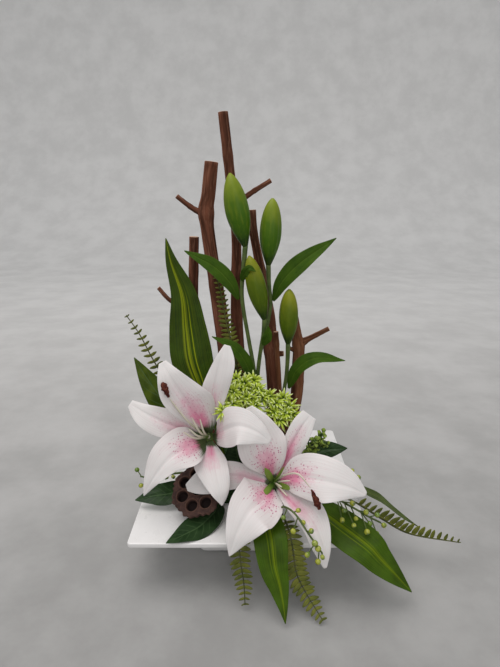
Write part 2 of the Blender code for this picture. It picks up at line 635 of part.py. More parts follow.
def make_berries(mat):
    make_berry_sprig(
        "berries_left",
        rooted((-42, -26, 70), (-66, -36, 90), (-88, -42, 93), (-112, -44, 88), (-128, -40, 88),
               radius=1.4), 1.4,
        [((-104, -43, 90), (-106, -51, 83)), ((-112, -44, 88), (-126, -48, 81)),
         ((-96, -43, 92), (-96, -50, 93)), ((-90, -42, 93), (-88, -49, 93)),
         ((-126, -40, 88), (-133, -34, 93))], mat)
    make_berry_sprig(
        "berries_front",
        rooted((24, -38, 80), (28, -84, 82), (31, -106, 86), (34, -131, 89), (44, -140, 98),
               (54, -147, 92), (60, -152, 82), (63, -154, 76), radius=1.4), 1.4,
        [((38, -136, 93), (39, -140, 102)), ((44, -140, 98), (46, -141, 111)),
         ((44, -140, 98), (38, -145, 90)), ((48, -142, 97), (50, -145, 103)),
         ((53, -146, 94), (57, -153, 95)), ((56, -149, 88), (52, -153, 82)),
         ((58, -150, 86), (65, -155, 87)), ((62, -153, 78), (67, -158, 77)),
         ((62, -153, 77), (58, -157, 72))], mat)
    make_berry_sprig(
        "berries_right",
        rooted((46, -32, 80), (68, -62, 94), (84, -86, 98), (96, -102, 97), (108, -110, 94),
               (122, -112, 86), (134, -111, 79), radius=1.4), 1.4,
        [((90, -96, 98), (92, -119, 87)), ((96, -102, 97), (95, -114, 92)),
         ((98, -104, 96), (102, -124, 87)), ((100, -104, 96), (107, -101, 92)),
         ((104, -108, 95), (108, -116, 89)), ((110, -110, 93), (113, -130, 84)),
         ((116, -111, 90), (122, -105, 87)), ((116, -111, 90), (121, -117, 88)),
         ((128, -112, 82), (132, -107, 83)), ((130, -111, 81), (137, -113, 76)),
         ((80, -78, 97), (104, -66, 118))], mat)


def burst(centre, radius):
    """Star-shaped filler flower: a flat ring of points round a low dome."""
    verts = [centre + mm(0, -2.6, 2.6), centre + mm(0, 2.2, -2.2)]
    count = 14
    for k in range(count):
        turn = 2 * math.pi * k / count
        reach = radius if k % 2 == 0 else radius * 0.45
        rise = 1.5 if k % 4 == 0 else -0.5
        verts.append(centre + mm(reach * math.cos(turn), -rise - reach * 0.45 * math.sin(turn),
                                 rise + reach * 0.89 * math.sin(turn)))
    faces = []
    for k in range(count):
        a = 2 + k
        b = 2 + (k + 1) % count
        faces.append((0, a, b))
        faces.append((1, b, a))
    return verts, faces


def make_star_sprig(name, stem, fork, heads, mat):
    """Sprig of star flowers: one stem that forks to every head."""
    pieces = []
    for head in heads:
        pieces.append(rod([mm(*fork), mm(*head)], [1.0, 0.9], 2, 5))
        pieces.append(burst(mm(*head), 7.6))
    return merge(name, rod(stem, [1.5, 1.4, 1.3], 5, 6), pieces, mat)


def make_star_sprigs(mat):
    make_star_sprig("star_flowers_left",
                    rooted((-8, -26, 56), (-12, -38, 112), (-13, -46, 150), (-14, -48, 172),
                           radius=1.5), (-14, -48, 170),
                    [(-15, -46, 211), (-24, -54, 202), (-12, -58, 194), (-27, -76, 187),
                     (-27, -44, 196)], mat)
    make_star_sprig("star_flowers_middle",
                    rooted((6, -28, 56), (4, -40, 112), (4, -46, 150), (5, -46, 172),
                           radius=1.5), (5, -46, 170),
                    [(4, -42, 208), (2, -58, 193), (9, -50, 200), (-3, -46, 200)], mat)
    make_star_sprig("star_flowers_right",
                    rooted((22, -26, 56), (26, -40, 112), (28, -48, 150), (29, -52, 160),
                           radius=1.5), (29, -52, 158),
                    [(20, -52, 194), (36, -52, 191), (46, -58, 176), (32, -66, 173)], mat)


def make_box_sprig(mat):
    """Sprig of fine box foliage: small oval leaves round a forked stem."""
    stem = rooted((36, -30, 60), (56, -44, 104), (67, -50, 122), (80, -54, 142), radius=1.5)
    spine = smooth_path(stem, 11)
    pieces = []
    for level in range(4):
        spot = Vector(spine[7 + level]) if level < 3 else Vector(spine[9] * 0.3 + spine[10] * 0.7)
        for k in range(3):
            turn = 2 * math.pi * (k + 0.5 * (level % 2) + 0.1) / 3
            reach = 15.0 - level * 1.6
            out = mm(reach * math.cos(turn), reach * 0.5 * math.sin(turn),
                     4 + reach * 0.6 * math.sin(turn))
            path = smooth_path([spot, spot + out], 4)
            pieces.append(sweep(path, [0.7, 1.0, 3.6, 0.8], [0.7, 0.8, 0.8, 0.5],
                                (0.1, -0.5, 0.9), 4))
    merge("box_sprig", rod(stem, [1.5, 1.4, 1.3], 11, 6), pieces, mat)


# ---------------------------------------------------------------- assembly
def build():
    clear_scene()
    glaze = make_material("white_glaze", (0.86, 0.86, 0.85), 0.25)
    foam = make_material("floral_foam", (0.07, 0.16, 0.06), 0.95)
    bark = make_material("branch_bark", (0.10, 0.035, 0.02), 0.75)
    bud = make_material("bud_green", (0.13, 0.26, 0.03), 0.45)
    stem = make_material("stem_green", (0.07, 0.15, 0.03), 0.5)
    leaf = make_material("leaf_green", (0.04, 0.16, 0.03), 0.45)
    striped = make_material("striped_leaf", (0.08, 0.24, 0.03), 0.4)
    dark = make_material("dark_leaf", (0.02, 0.07, 0.03), 0.4)
    fern = make_material("fern_green", (0.06, 0.16, 0.04), 0.55)
    petal = make_material("petal_white", (0.85, 0.80, 0.80), 0.55)
    stamen = make_material("stamen_green", (0.35, 0.48, 0.15), 0.5)
    anther = make_material("anther_brown", (0.10, 0.025, 0.02), 0.7)
    pod = make_material("pod_brown", (0.06, 0.035, 0.03), 0.85)
    berry = make_material("berry_green", (0.35, 0.42, 0.05), 0.35)
    star = make_material("star_lime", (0.42, 0.60, 0.12), 0.5)
    box = make_material("box_green", (0.07, 0.15, 0.03), 0.5)
    make_bowl(glaze)
    make_branches(bark)
    make_buds(bud)
    make_bud_stems(stem)
    make_bud_leaves(leaf)
    make_striped_leaves(striped)
    make_dark_leaves(dark)
    make_ferns(fern)
    make_left_lily(petal, stem, stamen, anther)
    make_right_lily(petal, stem, stamen, anther)
    make_pod(pod)
    make_berries(berry)
    make_star_sprigs(star)
    make_box_sprig(box)
    make_foam(foam)


build()
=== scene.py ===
"""Ikebana arrangement: cut branches, lilies, buds, leaves, ferns and berries in a square bowl.

Metres, +Z up, the front of the arrangement towards -Y.  Points and sizes are written
in millimetres and multiplied by MM where a mesh is made.
"""
import math

import bpy
import numpy as np
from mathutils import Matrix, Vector


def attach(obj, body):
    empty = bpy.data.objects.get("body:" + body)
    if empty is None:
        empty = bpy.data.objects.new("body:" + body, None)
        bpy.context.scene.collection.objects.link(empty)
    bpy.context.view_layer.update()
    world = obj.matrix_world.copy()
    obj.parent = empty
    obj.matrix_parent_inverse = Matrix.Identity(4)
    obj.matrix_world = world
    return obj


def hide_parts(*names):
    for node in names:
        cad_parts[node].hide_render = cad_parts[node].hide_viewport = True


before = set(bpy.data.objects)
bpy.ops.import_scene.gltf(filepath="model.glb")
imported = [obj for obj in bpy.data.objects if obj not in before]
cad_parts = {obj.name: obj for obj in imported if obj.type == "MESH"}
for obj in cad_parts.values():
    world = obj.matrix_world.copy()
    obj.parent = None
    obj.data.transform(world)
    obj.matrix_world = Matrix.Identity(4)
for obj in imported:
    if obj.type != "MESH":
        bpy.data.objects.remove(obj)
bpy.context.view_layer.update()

MM = 0.001

# ------------------------------------------------------------------ camera, floor and light
# A studio floor that runs up into a far wall, one broad soft light overhead, a weaker
# one from the front, and an even sky.
camera_lens, camera_back, camera_height, camera_pitch = 25.9, 0.536, 0.398, 15.43
camera_data = bpy.data.cameras.new("camera")
camera_data.lens = camera_lens
camera = bpy.data.objects.new("camera", camera_data)
camera.location = (0.0, -camera_back, camera_height)
camera.rotation_euler = (math.radians(90.0 - camera_pitch), 0.0, 0.0)
bpy.context.scene.collection.objects.link(camera)
bpy.context.scene.camera = camera


def soft_light(name, place, aim, size, power, colour):
    """Square area light at place, turned towards aim."""
    data = bpy.data.lights.new(name, "AREA")
    data.size = size
    data.energy = power
    data.color = colour
    lamp = bpy.data.objects.new(name, data)
    lamp.location = place
    look = Vector(aim) - Vector(place)
    lamp.rotation_euler = look.to_track_quat("-Z", "Y").to_euler()
    bpy.context.scene.collection.objects.link(lamp)


soft_light("overhead_light", (-0.35, -0.25, 1.7), (0.0, 0.0, 0.1), 1.3, 16.0, (1.0, 0.96, 0.94))
soft_light("front_light", (0.5, -1.9, 1.1), (0.0, 0.0, 0.2), 1.6, 8.0, (1.0, 0.97, 0.95))
world = bpy.data.worlds.new("even_sky")
world.use_nodes = True
world.node_tree.nodes["Background"].inputs["Color"].default_value = (0.97, 0.965, 0.97, 1.0)
world.node_tree.nodes["Background"].inputs["Strength"].default_value = 0.50
bpy.context.scene.world = world
bpy.context.scene.view_settings.view_transform = "Standard"


def put(tree, kind, inputs=None, **settings):
    """Adds a shader node with its settings, then its inputs: values, or sockets to link."""
    node = tree.nodes.new(kind if kind.startswith("Node") else "ShaderNode" + kind)
    for key, value in settings.items():
        setattr(node, key, value)
    for key, value in (inputs or {}).items():
        if isinstance(value, bpy.types.NodeSocket):
            tree.links.new(value, node.inputs[key])
        else:
            node.inputs[key].default_value = value
    return node


def calc(tree, operation, first, second=0.0):
    """Result of one Math node."""
    return put(tree, "Math", {0: first, 1: second}, operation=operation).outputs[0]


def times(tree, first, second):
    """First times second."""
    return calc(tree, "MULTIPLY", first, second)


def step_up(tree, value, low, high):
    """0 below low, 1 above high, smooth in between; high may be less than low."""
    return put(tree, "MapRange", {"Value": value, "From Min": low, "From Max": high},
               interpolation_type="SMOOTHSTEP").outputs[0]


def tint(tree, factor, first, second, amount=None):
    """Colour that goes from first to second as factor, times amount, goes from 0 to 1."""
    if amount is not None:
        factor = times(tree, factor, amount)
    first, second = ((*c, 1) if isinstance(c, tuple) else c for c in (first, second))
    return put(tree, "Mix", {0: factor, 6: first, 7: second}, data_type="RGBA").outputs[2]


def shade(tree, value, low, high, first, second, amount=None):
    """Tint whose factor steps up as value goes from low to high."""
    return tint(tree, step_up(tree, value, low, high), first, second, amount)


def noise(tree, place, scale, detail=3.0, rough=0.55, warp=0.0):
    """Noise between about 0.25 and 0.75 at the given places."""
    inputs = {"Vector": place, "Scale": scale, "Detail": detail, "Roughness": rough,
              "Distortion": warp}
    return put(tree, "TexNoise", inputs).outputs["Fac"]


def here_of(tree):
    """Object coordinates, which are the frame's, in metres."""
    return put(tree, "TexCoord").outputs["Object"]


def new_finish(name, roughness, specular=0.5, **constants):
    """Material and its node tree.  Its shader's constants are set here, with underscores
    standing for the spaces in their names."""
    mat = bpy.data.materials.new(name)
    mat.use_nodes = True
    constants = {"Roughness": roughness, "Specular_IOR_Level": specular, **constants}
    for label, value in constants.items():
        socket = mat.node_tree.nodes["Principled BSDF"].inputs[label.replace("_", " ")]
        socket.default_value = value
    return mat, mat.node_tree


def dressed(mat, colour, height=None, strength=0.0, depth=0.0, roughness=None):
    """Finish fed with its colour, its height in units of depth millimetres, and its
    roughness where that varies."""
    tree = mat.node_tree
    inputs = tree.nodes["Principled BSDF"].inputs
    tree.links.new(colour, inputs["Base Color"])
    if height is not None:
        bump = put(tree, "Bump", {"Height": height, "Strength": strength, "Distance": depth * MM})
        tree.links.new(bump.outputs[0], inputs["Normal"])
    if roughness is not None:
        tree.links.new(roughness, inputs["Roughness"])
    return mat


def concrete():
    """Pale smooth concrete: faint slow clouds, with painted shade on the floor in front that turns to
    painted light towards the far wall.
    """
    mat, tree = new_finish("pale_concrete_painted_falloff", 0.85, 0.2)
    here = here_of(tree)
    cloud = step_up(tree, noise(tree, here, 7.0, 6.0, 0.62), 0.3, 0.7)
    # near is painted shade on the floor in front, far is painted light up the far wall; grey goes from
    # one to the other with the distance back
    near = tint(tree, cloud, (0.25, 0.25, 0.245), (0.34, 0.34, 0.335))
    far = tint(tree, cloud, (0.80, 0.80, 0.79), (0.90, 0.90, 0.89))
    away = put(tree, "SeparateXYZ", {0: here}).outputs[1]
    grey = shade(tree, away, -0.7, 1.9, near, far)
    return dressed(mat, grey, noise(tree, here, 60.0), 0.1, 0.5)


def make_floor():
    """Grid carried sideways: flat floor, a quarter circle of radius bend, then a wall."""
    reach, bend, rise = 2.2, 1.2, 2.5
    turn = np.linspace(0.0, np.pi / 2, 17)
    along = np.concatenate([[-4.0], reach + bend * np.sin(turn), [reach + bend]])
    high = np.concatenate([[0.0], bend * (1 - np.cos(turn)), [bend + rise]])
    across = np.array([-5.0, 5.0])
    grid = np.stack(np.broadcast_arrays(across[None, :], along[:, None], high[:, None]), -1)
    first = 2 * np.arange(len(along) - 1)[:, None]
    mesh = bpy.data.meshes.new("studio_floor")
    mesh.from_pydata(grid.reshape(-1, 3).tolist(), [], (first + np.array([0, 1, 3, 2])).tolist())
    mesh.materials.append(concrete())
    mesh.polygons.foreach_set("use_smooth", [True] * len(mesh.polygons))
    floor = bpy.data.objects.new("studio_floor", mesh)
    bpy.context.scene.collection.objects.link(floor)


make_floor()

# ------------------------------------------------------------------ bowl
# A square porcelain bowl with a flat, very wide rim round a deep square well.  Slip
# cast in one piece, glazed white all over except where its foot stands on the table.
RIM_HALF, RIM_TOP, RIM_THICK = 125.0, 64.0, 5.5
FOOT_HALF, WALL, WELL_FLOOR = 60.5, 4.0, 6.0


def close_up(values):
    """Values ring by ring, then the mean of each piece's first ring and of its last."""
    ends = values[:, [0, -1]].mean(axis=2)
    flat = values.reshape(len(values), -1, values.shape[-1])
    return np.concatenate([flat, ends], axis=1).reshape(-1, values.shape[-1])


def skin(rings, marks, finish=0):
    """Closed shells over rings of points shaped (pieces, rings, points, 3).

    Neighbouring rings are joined by quads and each end by a fan of triangles round
    its middle.  The faces are turned outwards by the sign of the volume they enclose.
    """
    count, rows, size = rings.shape[:3]
    points = close_up(rings)
    k = np.arange(size)
    after = (k + 1) % size
    row = size * np.arange(rows - 1)[:, None]
    quads = np.stack([row + k, row + after, row + after + size, row + k + size], -1).reshape(-1, 4)
    foot = np.stack([np.full(size, rows * size), after, k], -1)
    last = (rows - 1) * size
    tip = np.stack([np.full(size, rows * size + 1), last + k, last + after], -1)
    shift = ((rows * size + 2) * np.arange(count))[:, None, None]
    quads = (quads + shift).reshape(-1, 4)
    fans = (np.concatenate([foot, tip]) + shift).reshape(-1, 3)
    corners = points[np.concatenate([quads[:, [0, 1, 2]], quads[:, [0, 2, 3]], fans])]
    volume = np.einsum("ij,ij->", corners[:, 0], np.cross(corners[:, 1], corners[:, 2]))
    if volume < 0:
        quads, fans = quads[:, ::-1], fans[:, ::-1]
    return {"points": points, "faces": quads.tolist() + fans.tolist(), "finish": finish,
            "marks": {name: close_up(values) for name, values in marks.items()}}


def make_piece(name, shells, finishes, nodes):
    """One object from closed shells, standing for the named nodes of the frame."""
    points = np.concatenate([part["points"] for part in shells])
    faces, picks, start = [], [], 0
    for part in shells:
        faces += [[corner + start for corner in face] for face in part["faces"]]
        picks += [part["finish"]] * len(part["faces"])
        start += len(part["points"])
    mesh = bpy.data.meshes.new(name)
    mesh.from_pydata(points.tolist(), [], faces)
    mesh.polygons.foreach_set("material_index", picks)
    mesh.polygons.foreach_set("use_smooth", [True] * len(faces))
    for label in shells[0]["marks"]:
        values = np.concatenate([part["marks"][label] for part in shells])
        layer = mesh.attributes.new(label, "FLOAT_VECTOR", "POINT")
        layer.data.foreach_set("vector", values.ravel())
    for finish in finishes:
        mesh.materials.append(finish)
    piece = bpy.data.objects.new(name, mesh)
    bpy.context.scene.collection.objects.link(piece)
    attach(piece, "root")
    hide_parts(*nodes)


def square_rings(halves, corners, heights, steps=8):
    """Squares with round corners, one for each height: a corner is a quarter circle,
    with one more point close by on each side that keeps the flat sides flat."""
    turn = np.linspace(0.0, np.pi / 2, steps)
    arc = np.concatenate([[1.0 - 0.2j], np.exp(1j * turn), [1.0j - 0.2]])
    quarter = 1j ** np.arange(4)
    middle = (np.asarray(halves) - corners)[:, None, None] * (1 + 1j)
    ring = (middle + np.asarray(corners)[:, None, None] * arc) * quarter[:, None]
    ring = ring.reshape(len(halves), -1)
    tall = np.broadcast_to(np.asarray(heights)[:, None], ring.shape)
    return np.stack([ring.real, ring.imag, tall], -1)[None] * MM


def bowl_glaze():
    """White glaze: faint cloudiness, a few grey iron specks, a soft orange-peel skin."""
    mat, tree = new_finish("white_glaze", 0.28, Coat_Weight=0.35, Coat_Roughness=0.12)
    here = here_of(tree)
    cloud = noise(tree, here, 22.0, 4.0)
    base = shade(tree, cloud, 0.3, 0.7, (0.80, 0.795, 0.785), (0.87, 0.865, 0.86))
    speck = noise(tree, here, 900.0, 1.0)
    white = shade(tree, speck, 0.76, 0.80, base, (0.45, 0.43, 0.40))
    return dressed(mat, white, noise(tree, here, 260.0, 2.0), 0.06, 0.4,
                   roughness=step_up(tree, noise(tree, here, 60.0), -1.2, 3.4))


def make_bowl():
    """Profile of half sides and heights, from the middle of the underside round the
    outside and the rim to the middle of the well's floor; every edge is an arc."""
    under, well = RIM_TOP - RIM_THICK, FOOT_HALF - WALL
    edges = [(FOOT_HALF - 4, 4, 4, 4, -90, 0), (FOOT_HALF + 4, under - 4, 4, 4, 180, 90),
             (RIM_HALF - 1.4, under + 1.4, 1.4, 1.4, -90, 0),
             (RIM_HALF - 1.2, RIM_TOP - 1.2, 1.2, 1.2, 0, 90),
             (well + 2, RIM_TOP - 2, 2, 2, 90, 180), (well - 4, WELL_FLOOR + 4, 4, 4, 0, -90)]
    turn = np.radians([[start + (end - start) * f for f in np.linspace(0, 1, 8)]
                       for *_, start, end in edges])
    across = np.array([[e[0]] for e in edges]) + np.array([[e[2]] for e in edges]) * np.cos(turn)
    high = np.array([[e[1]] for e in edges]) + np.array([[e[3]] for e in edges]) * np.sin(turn)
    hold = 4 / 7                  # part of an arc's step: one more point on the flat
    profile = np.stack([across, high], -1)
    before = profile[:, :1] + hold * (profile[:, :1] - profile[:, 1:2])
    beyond = profile[:, -1:] + hold * (profile[:, -1:] - profile[:, -2:-1])
    profile = np.concatenate([before, profile, beyond], axis=1).reshape(-1, 2)
    profile = np.vstack([[20.0, 0.0], profile, [20.0, WELL_FLOOR]])
    corners = np.interp(profile[:, 0], [20, FOOT_HALF, FOOT_HALF + 6, RIM_HALF], [4, 9, 9, 4])
    rings = square_rings(profile[:, 0], corners, profile[:, 1])
    make_piece("bowl_porcelain", [skin(rings, {})], [bowl_glaze()], ["bowl"])


make_bowl()

# ------------------------------------------------------------------ floral foam
# A block of green open-celled foam wedged into the well; every stem is pushed into it.
# The frame's own block is shown, because it has a hole for each stem.


def foam_cells():
    """Crumbly foam: round cells of about a millimetre, near black in their middles as painted shade in
    the pores, and crushed paler grains.
    """
    mat, tree = new_finish("floral_foam", 0.95, 0.1)
    here = here_of(tree)
    cells = put(tree, "TexVoronoi", {"Vector": here, "Scale": 900.0}).outputs["Distance"]
    grain = noise(tree, here, 400.0, 4.0)
    green = shade(tree, grain, 0.35, 0.65, (0.018, 0.045, 0.014), (0.05, 0.11, 0.035))
    # painted shade: each cell darkens to near black towards its middle, where the bump sinks it into a
    # pore
    green = shade(tree, cells, 0.0, 0.5, (0.01, 0.02, 0.008), green)
    return dressed(mat, green, cells, 0.9, 1.0)


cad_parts["foam_block"].material_slots[0].material = foam_cells()

# ------------------------------------------------------------------ branches
# Six cut tree branches, pencil to thumb thick, with swollen rings where leaves grew, the
# stubs of side twigs and pale sawn ends.  Smooth brown bark with lengthwise streaks.


def unit(vectors):
    """The same directions with length one."""
    return vectors / np.linalg.norm(vectors, axis=-1, keepdims=True)


def spaced(values, places):
    """Values given at even steps from 0 to 1, read at places."""
    return np.interp(places, np.linspace(0.0, 1.0, len(values)), values)


def route(points, stations):
    """Even stations in metres on the Catmull-Rom curve through points in millimetres."""
    p = np.array(points, float) * MM
    p = np.vstack([2 * p[0] - p[1], p, 2 * p[-1] - p[-2]])
    spans = len(p) - 3
    t = np.linspace(0.0, spans, 40 * spans + 1)
    i = np.minimum(t.astype(int), spans - 1)
    f = (t - i)[:, None]
    a, b, c, d = p[i], p[i + 1], p[i + 2], p[i + 3]
    dense = b + 0.5 * f * (c - a) + f ** 2 * (a - 2.5 * b + 2 * c - 0.5 * d)
    dense += f ** 3 * (-0.5 * a + 1.5 * b - 1.5 * c + 0.5 * d)
    run = np.concatenate([[0.0], np.cumsum(np.linalg.norm(np.diff(dense, axis=0), axis=1))])
    want = np.linspace(0.0, run[-1], stations)
    return np.stack([np.interp(want, run, dense[:, axis]) for axis in range(3)], axis=1)


def standing(seat, mouth, *beyond):
    """Route that starts at seat inside the foam and runs straight to mouth."""
    seat, mouth = np.array(seat, float), np.array(mouth, float)
    return [seat, seat + 0.72 * (mouth - seat), mouth, *beyond]


def around(size, flat=0.0):
    """Angles of a ring's points; flat draws them from the two ends of a thin ring
    towards the middle of its faces."""
    a = np.linspace(0.0, 2 * np.pi, size, endpoint=False)
    return a + flat * np.sin(2 * a)


def sweep(path, wide, deep, face, a, rise=0.0, swell=1.0, shift=0.0):
    """Rings carried along paths shaped (..., stations, 3), sizes in millimetres.

    A point at angle a of a ring lies at side * wide * cos(a) + up * deep * sin(a), times
    swell, up by rise and sideways by shift; side and up are square to the path, up
    towards face.  The mark lay holds cos(a), the fraction of the length and sin(a);
    spread holds the distance across, along and through, in metres.
    """
    tangent = unit(np.gradient(path, axis=-2))
    side = unit(np.cross(tangent, np.broadcast_to(face, tangent.shape)))
    up = np.cross(side, tangent)
    wide = np.broadcast_to(wide, path.shape[:-1])[..., None] * MM
    deep = np.broadcast_to(deep, path.shape[:-1])[..., None] * MM
    across, through = wide * np.cos(a) * swell + shift * MM, deep * np.sin(a) * swell
    out = side[..., None, :] * across[..., None] + up[..., None, :] * (through + rise * MM)[..., None]
    rings = path[..., None, :] + out
    run = np.cumsum(np.linalg.norm(np.diff(path, axis=-2, prepend=path[..., :1, :]), axis=-1), axis=-1)
    share = (run / run[..., -1:])[..., None]
    lay = np.stack(np.broadcast_arrays(np.cos(a), share, np.sin(a)), -1)
    spread = np.stack(np.broadcast_arrays(across, run[..., None], through), -1)
    shape = (-1, *rings.shape[-3:])
    return rings.reshape(shape), {"lay": lay.reshape(shape), "spread": spread.reshape(shape)}


def shell(swept, finish=0):
    """Closed shells from what sweep returns."""
    return skin(*swept, finish)


ROUND = (0.02, -1.0, 0.03)        # any direction square to most stems


def timber(points, radii, knots, seed, stations=110, size=30):
    """A sawn length of branch: its radius follows radii, swells at each knot and carries
    lengthwise ribs and dents; the last rings turn in over the sawn end."""
    path = route(points, stations)
    at = np.linspace(0.0, 1.0, stations)
    radius = spaced(radii, at)
    for place, rise, reach in knots:
        radius = radius + rise * np.exp(-((at - place) / reach) ** 2)
    a = around(size)
    drift = 1.3 * np.sin(2 * np.pi * at * 1.7 + seed)[:, None]
    ribs = np.sin(5 * a + drift + seed) + 0.7 * np.sin(9 * a - 2 * drift)
    ribs = ribs + 0.5 * np.sin(14 * a + 3 * drift)
    dents = np.sin(37 * at + seed)[:, None] * np.sin(2 * a + 5 * at[:, None] + seed)
    swell = 1.0 + 0.016 * ribs + 0.02 * dents
    along = unit(path[-1] - path[-2])
    path = np.vstack([path, path[-1] + 0.25 * MM * along, path[-1] + 0.40 * MM * along])
    radius = np.concatenate([radius, radius[-1:] * [0.95, 0.88]])
    swell = np.vstack([swell, swell[-1:], swell[-1:]])
    rings, marks = sweep(path, radius, radius, ROUND, a, 0.0, swell)
    marks["lay"][:, -2:, :, 1] = 1.1
    return skin(rings, marks)


def new_group(name, inputs, outputs):
    """Shader node group with the sockets listed as label:kind, and its input node's ends."""
    group = bpy.data.node_groups.new(name, "ShaderNodeTree")
    for way, listed in (("INPUT", inputs), ("OUTPUT", outputs)):
        for label, kind in (socket.split(":") for socket in listed.split()):
            group.interface.new_socket(label, in_out=way, socket_type="NodeSocket" + kind)
    return group, put(group, "NodeGroupInput").outputs


def give_out(group, **results):
    """Ends a group: its outputs are the given results."""
    way_out = put(group, "NodeGroupOutput").inputs
    for label, result in results.items():
        group.links.new(result, way_out[label])
    return group


def stretched(tree, place, factors):
    """Places multiplied by one factor for each direction."""
    return put(tree, "VectorMath", {0: place, 1: factors}, operation="MULTIPLY").outputs[0]


def bark_effect():
    """Group: streaks that run along the wood, darker patches, and a height for peeling
    and fine cracks."""
    group, way_in = new_group("bark_streaks", "Spread:Vector Dark:Color Middle:Color Light:Color",
                              "Color:Color Height:Float Roughness:Float")
    long_way = stretched(group, way_in["Spread"], (1.0, 0.07, 1.0))
    broad = noise(group, long_way, 130.0, 4.0, 0.6, 0.4)
    fine = noise(group, long_way, 520.0, 3.0, 0.6)
    patch = noise(group, stretched(group, way_in["Spread"], (1.0, 0.35, 1.0)), 70.0, 3.0)
    colour = shade(group, broad, 0.36, 0.62, way_in["Dark"], way_in["Middle"])
    colour = shade(group, fine, 0.5, 0.68, colour, way_in["Light"], 0.55)
    colour = shade(group, patch, 0.52, 0.72, colour, way_in["Dark"], 0.6)
    height = times(group, broad, 0.7)
    height = calc(group, "ADD", height, times(group, fine, 0.5))
    return give_out(group, Color=colour, Height=height, Roughness=step_up(group, fine, -1.1, 1.1))


bark_streaks = bark_effect()


def mark(tree, label):
    """Vector of one of the mesh's own marks."""
    return put(tree, "Attribute", attribute_name=label).outputs["Vector"]


def lay_of(tree):
    """Across, along and through parts of the lay mark."""
    return put(tree, "SeparateXYZ", {0: mark(tree, "lay")}).outputs


def bark(name, dark, middle, light):
    """Bark on the sides; where along passes 1, the sawn end: pale wood with rings."""
    mat, tree = new_finish(name, 0.75, 0.06)
    spread = mark(tree, "spread")
    look = put(tree, "Group", {"Spread": spread, "Dark": (*dark, 1), "Middle": (*middle, 1),
                               "Light": (*light, 1)}, node_tree=bark_streaks).outputs
    flat = stretched(tree, spread, (1.0, 0.0, 1.0))
    out = put(tree, "VectorMath", {0: flat}, operation="LENGTH").outputs["Value"]
    rings = calc(tree, "SINE", times(tree, out, 5200.0))
    wood = shade(tree, rings, -1.0, 1.0, (0.42, 0.25, 0.16), (0.60, 0.42, 0.30))
    sawn = step_up(tree, lay_of(tree)[1], 1.02, 1.08)
    return dressed(mat, tint(tree, sawn, look["Color"], wood), look["Height"], 0.5, 0.6,
                   roughness=look["Roughness"])


red_bark = bark("red_brown_bark", (0.060, 0.024, 0.014), (0.180, 0.068, 0.040), (0.29, 0.140, 0.090))
tan_bark = bark("tan_brown_bark", (0.065, 0.027, 0.015), (0.20, 0.082, 0.040), (0.34, 0.18, 0.10))


def make_branch(name, node, trunk, radii, knots, twigs, finish, seed):
    """Trunk and side twigs of one branch; a twig starts inside the trunk, with a collar."""
    shells = [timber(trunk, radii, knots, seed)]
    for number, (points, thick) in enumerate(twigs):
        shells.append(timber(points, thick, [(0.0, 1.6, 0.22), (0.55, 0.25, 0.05)],
                             seed + 2.0 + number, 40, 18))
    make_piece(name, shells, [finish], [node])


make_branch(
    "tall_branch", "branch_tall",
    standing((-2, 24, 46), (-5, 24, 112), (-8, 24, 156), (-15, 24, 235), (-16, 24, 300),
             (-16, 24, 363), (-22.5, 24, 429), (-29, 24, 490)),
    [7, 7, 7, 7.5, 7.6, 6.6, 5.6, 5.9, 5.6, 5.4],
    [(0.775, 1.3, 0.018), (0.60, 0.5, 0.02), (0.90, 0.4, 0.015)],
    [([(-17, 24, 396), (-6, 24, 402), (8, 24, 411), (23, 24, 420)], [3.4, 2.9, 2.7, 2.6])],
    red_bark, 0.4)
make_branch(
    "thick_branch", "branch_thick",
    standing((-8, 4, 46), (-14, 4, 112), (-22, 4, 170), (-32, 4, 253), (-39, 4, 308),
             (-44, 4, 345), (-48, 4, 385), (-45, 4, 405), (-41, 4, 438)),
    [8.4, 8.4, 8.4, 8.6, 8.8, 8.6, 7.8, 7.2, 7.6, 7.2],
    [(0.865, 1.7, 0.022), (0.45, 0.4, 0.02), (0.66, 0.5, 0.02)],
    [([(-46, 4, 384), (-58, 4, 388), (-69, 4, 395), (-79, 4, 403)], [4.0, 3.1, 2.7, 2.5])],
    red_bark, 1.3)
make_branch(
    "short_left_branch", "branch_short_left",
    standing((-38, 18, 46), (-43, 17, 112), (-57, 15, 170), (-65, 14, 240), (-66, 14, 286),
             (-63, 14, 359)),
    [5.2, 5.2, 5.4, 5.7, 5.6, 5.4], [(0.70, 0.8, 0.02), (0.88, 0.3, 0.02)],
    [([(-66, 14, 272), (-80, 14, 280), (-94, 14, 287), (-106, 14, 301)], [3.2, 2.7, 2.5, 2.3])],
    red_bark, 2.1)
make_branch(
    "middle_branch", "branch_middle",
    standing((24, 30, 46), (27.5, 30, 112), (30, 30, 167), (26, 30, 218), (24, 30, 261),
             (13, 30, 317), (4, 30, 364), (2, 30, 388)),
    [7.6, 7.6, 7.6, 8.0, 8.3, 7.2, 6.4, 5.7, 5.1, 4.9],
    [(0.51, 1.5, 0.02), (0.80, 0.4, 0.015)],
    [([(26, 30, 215), (32, 29, 216), (41, 27, 217)], [4.2, 3.6, 3.3])],
    red_bark, 3.2)
make_branch(
    "thin_stick", "branch_thin",
    standing((40, 12, 46), (38, 12, 112), (36, 13, 174), (31, 15, 248)),
    [2.9, 2.9, 3.1, 2.9], [(0.93, 0.5, 0.02)], [], tan_bark, 4.0)
make_branch(
    "right_branch", "branch_right",
    standing((44, 34, 46), (48, 33, 112), (58, 31, 150), (60, 30, 189), (60, 30, 222),
             (57, 30, 241), (53, 30, 262)),
    [7.4, 7.4, 7.4, 7.6, 7.6, 7.8, 6.6, 5.6], [(0.84, 1.2, 0.03), (0.62, 0.4, 0.02)],
    [([(62, 30, 229), (70, 30, 234), (83, 30, 241), (96, 30, 248)], [4.0, 3.3, 3.0, 2.8]),
     ([(61, 30, 219), (54, 29, 221), (48, 28, 224)], [3.4, 2.7, 2.4])],
    tan_bark, 5.1)

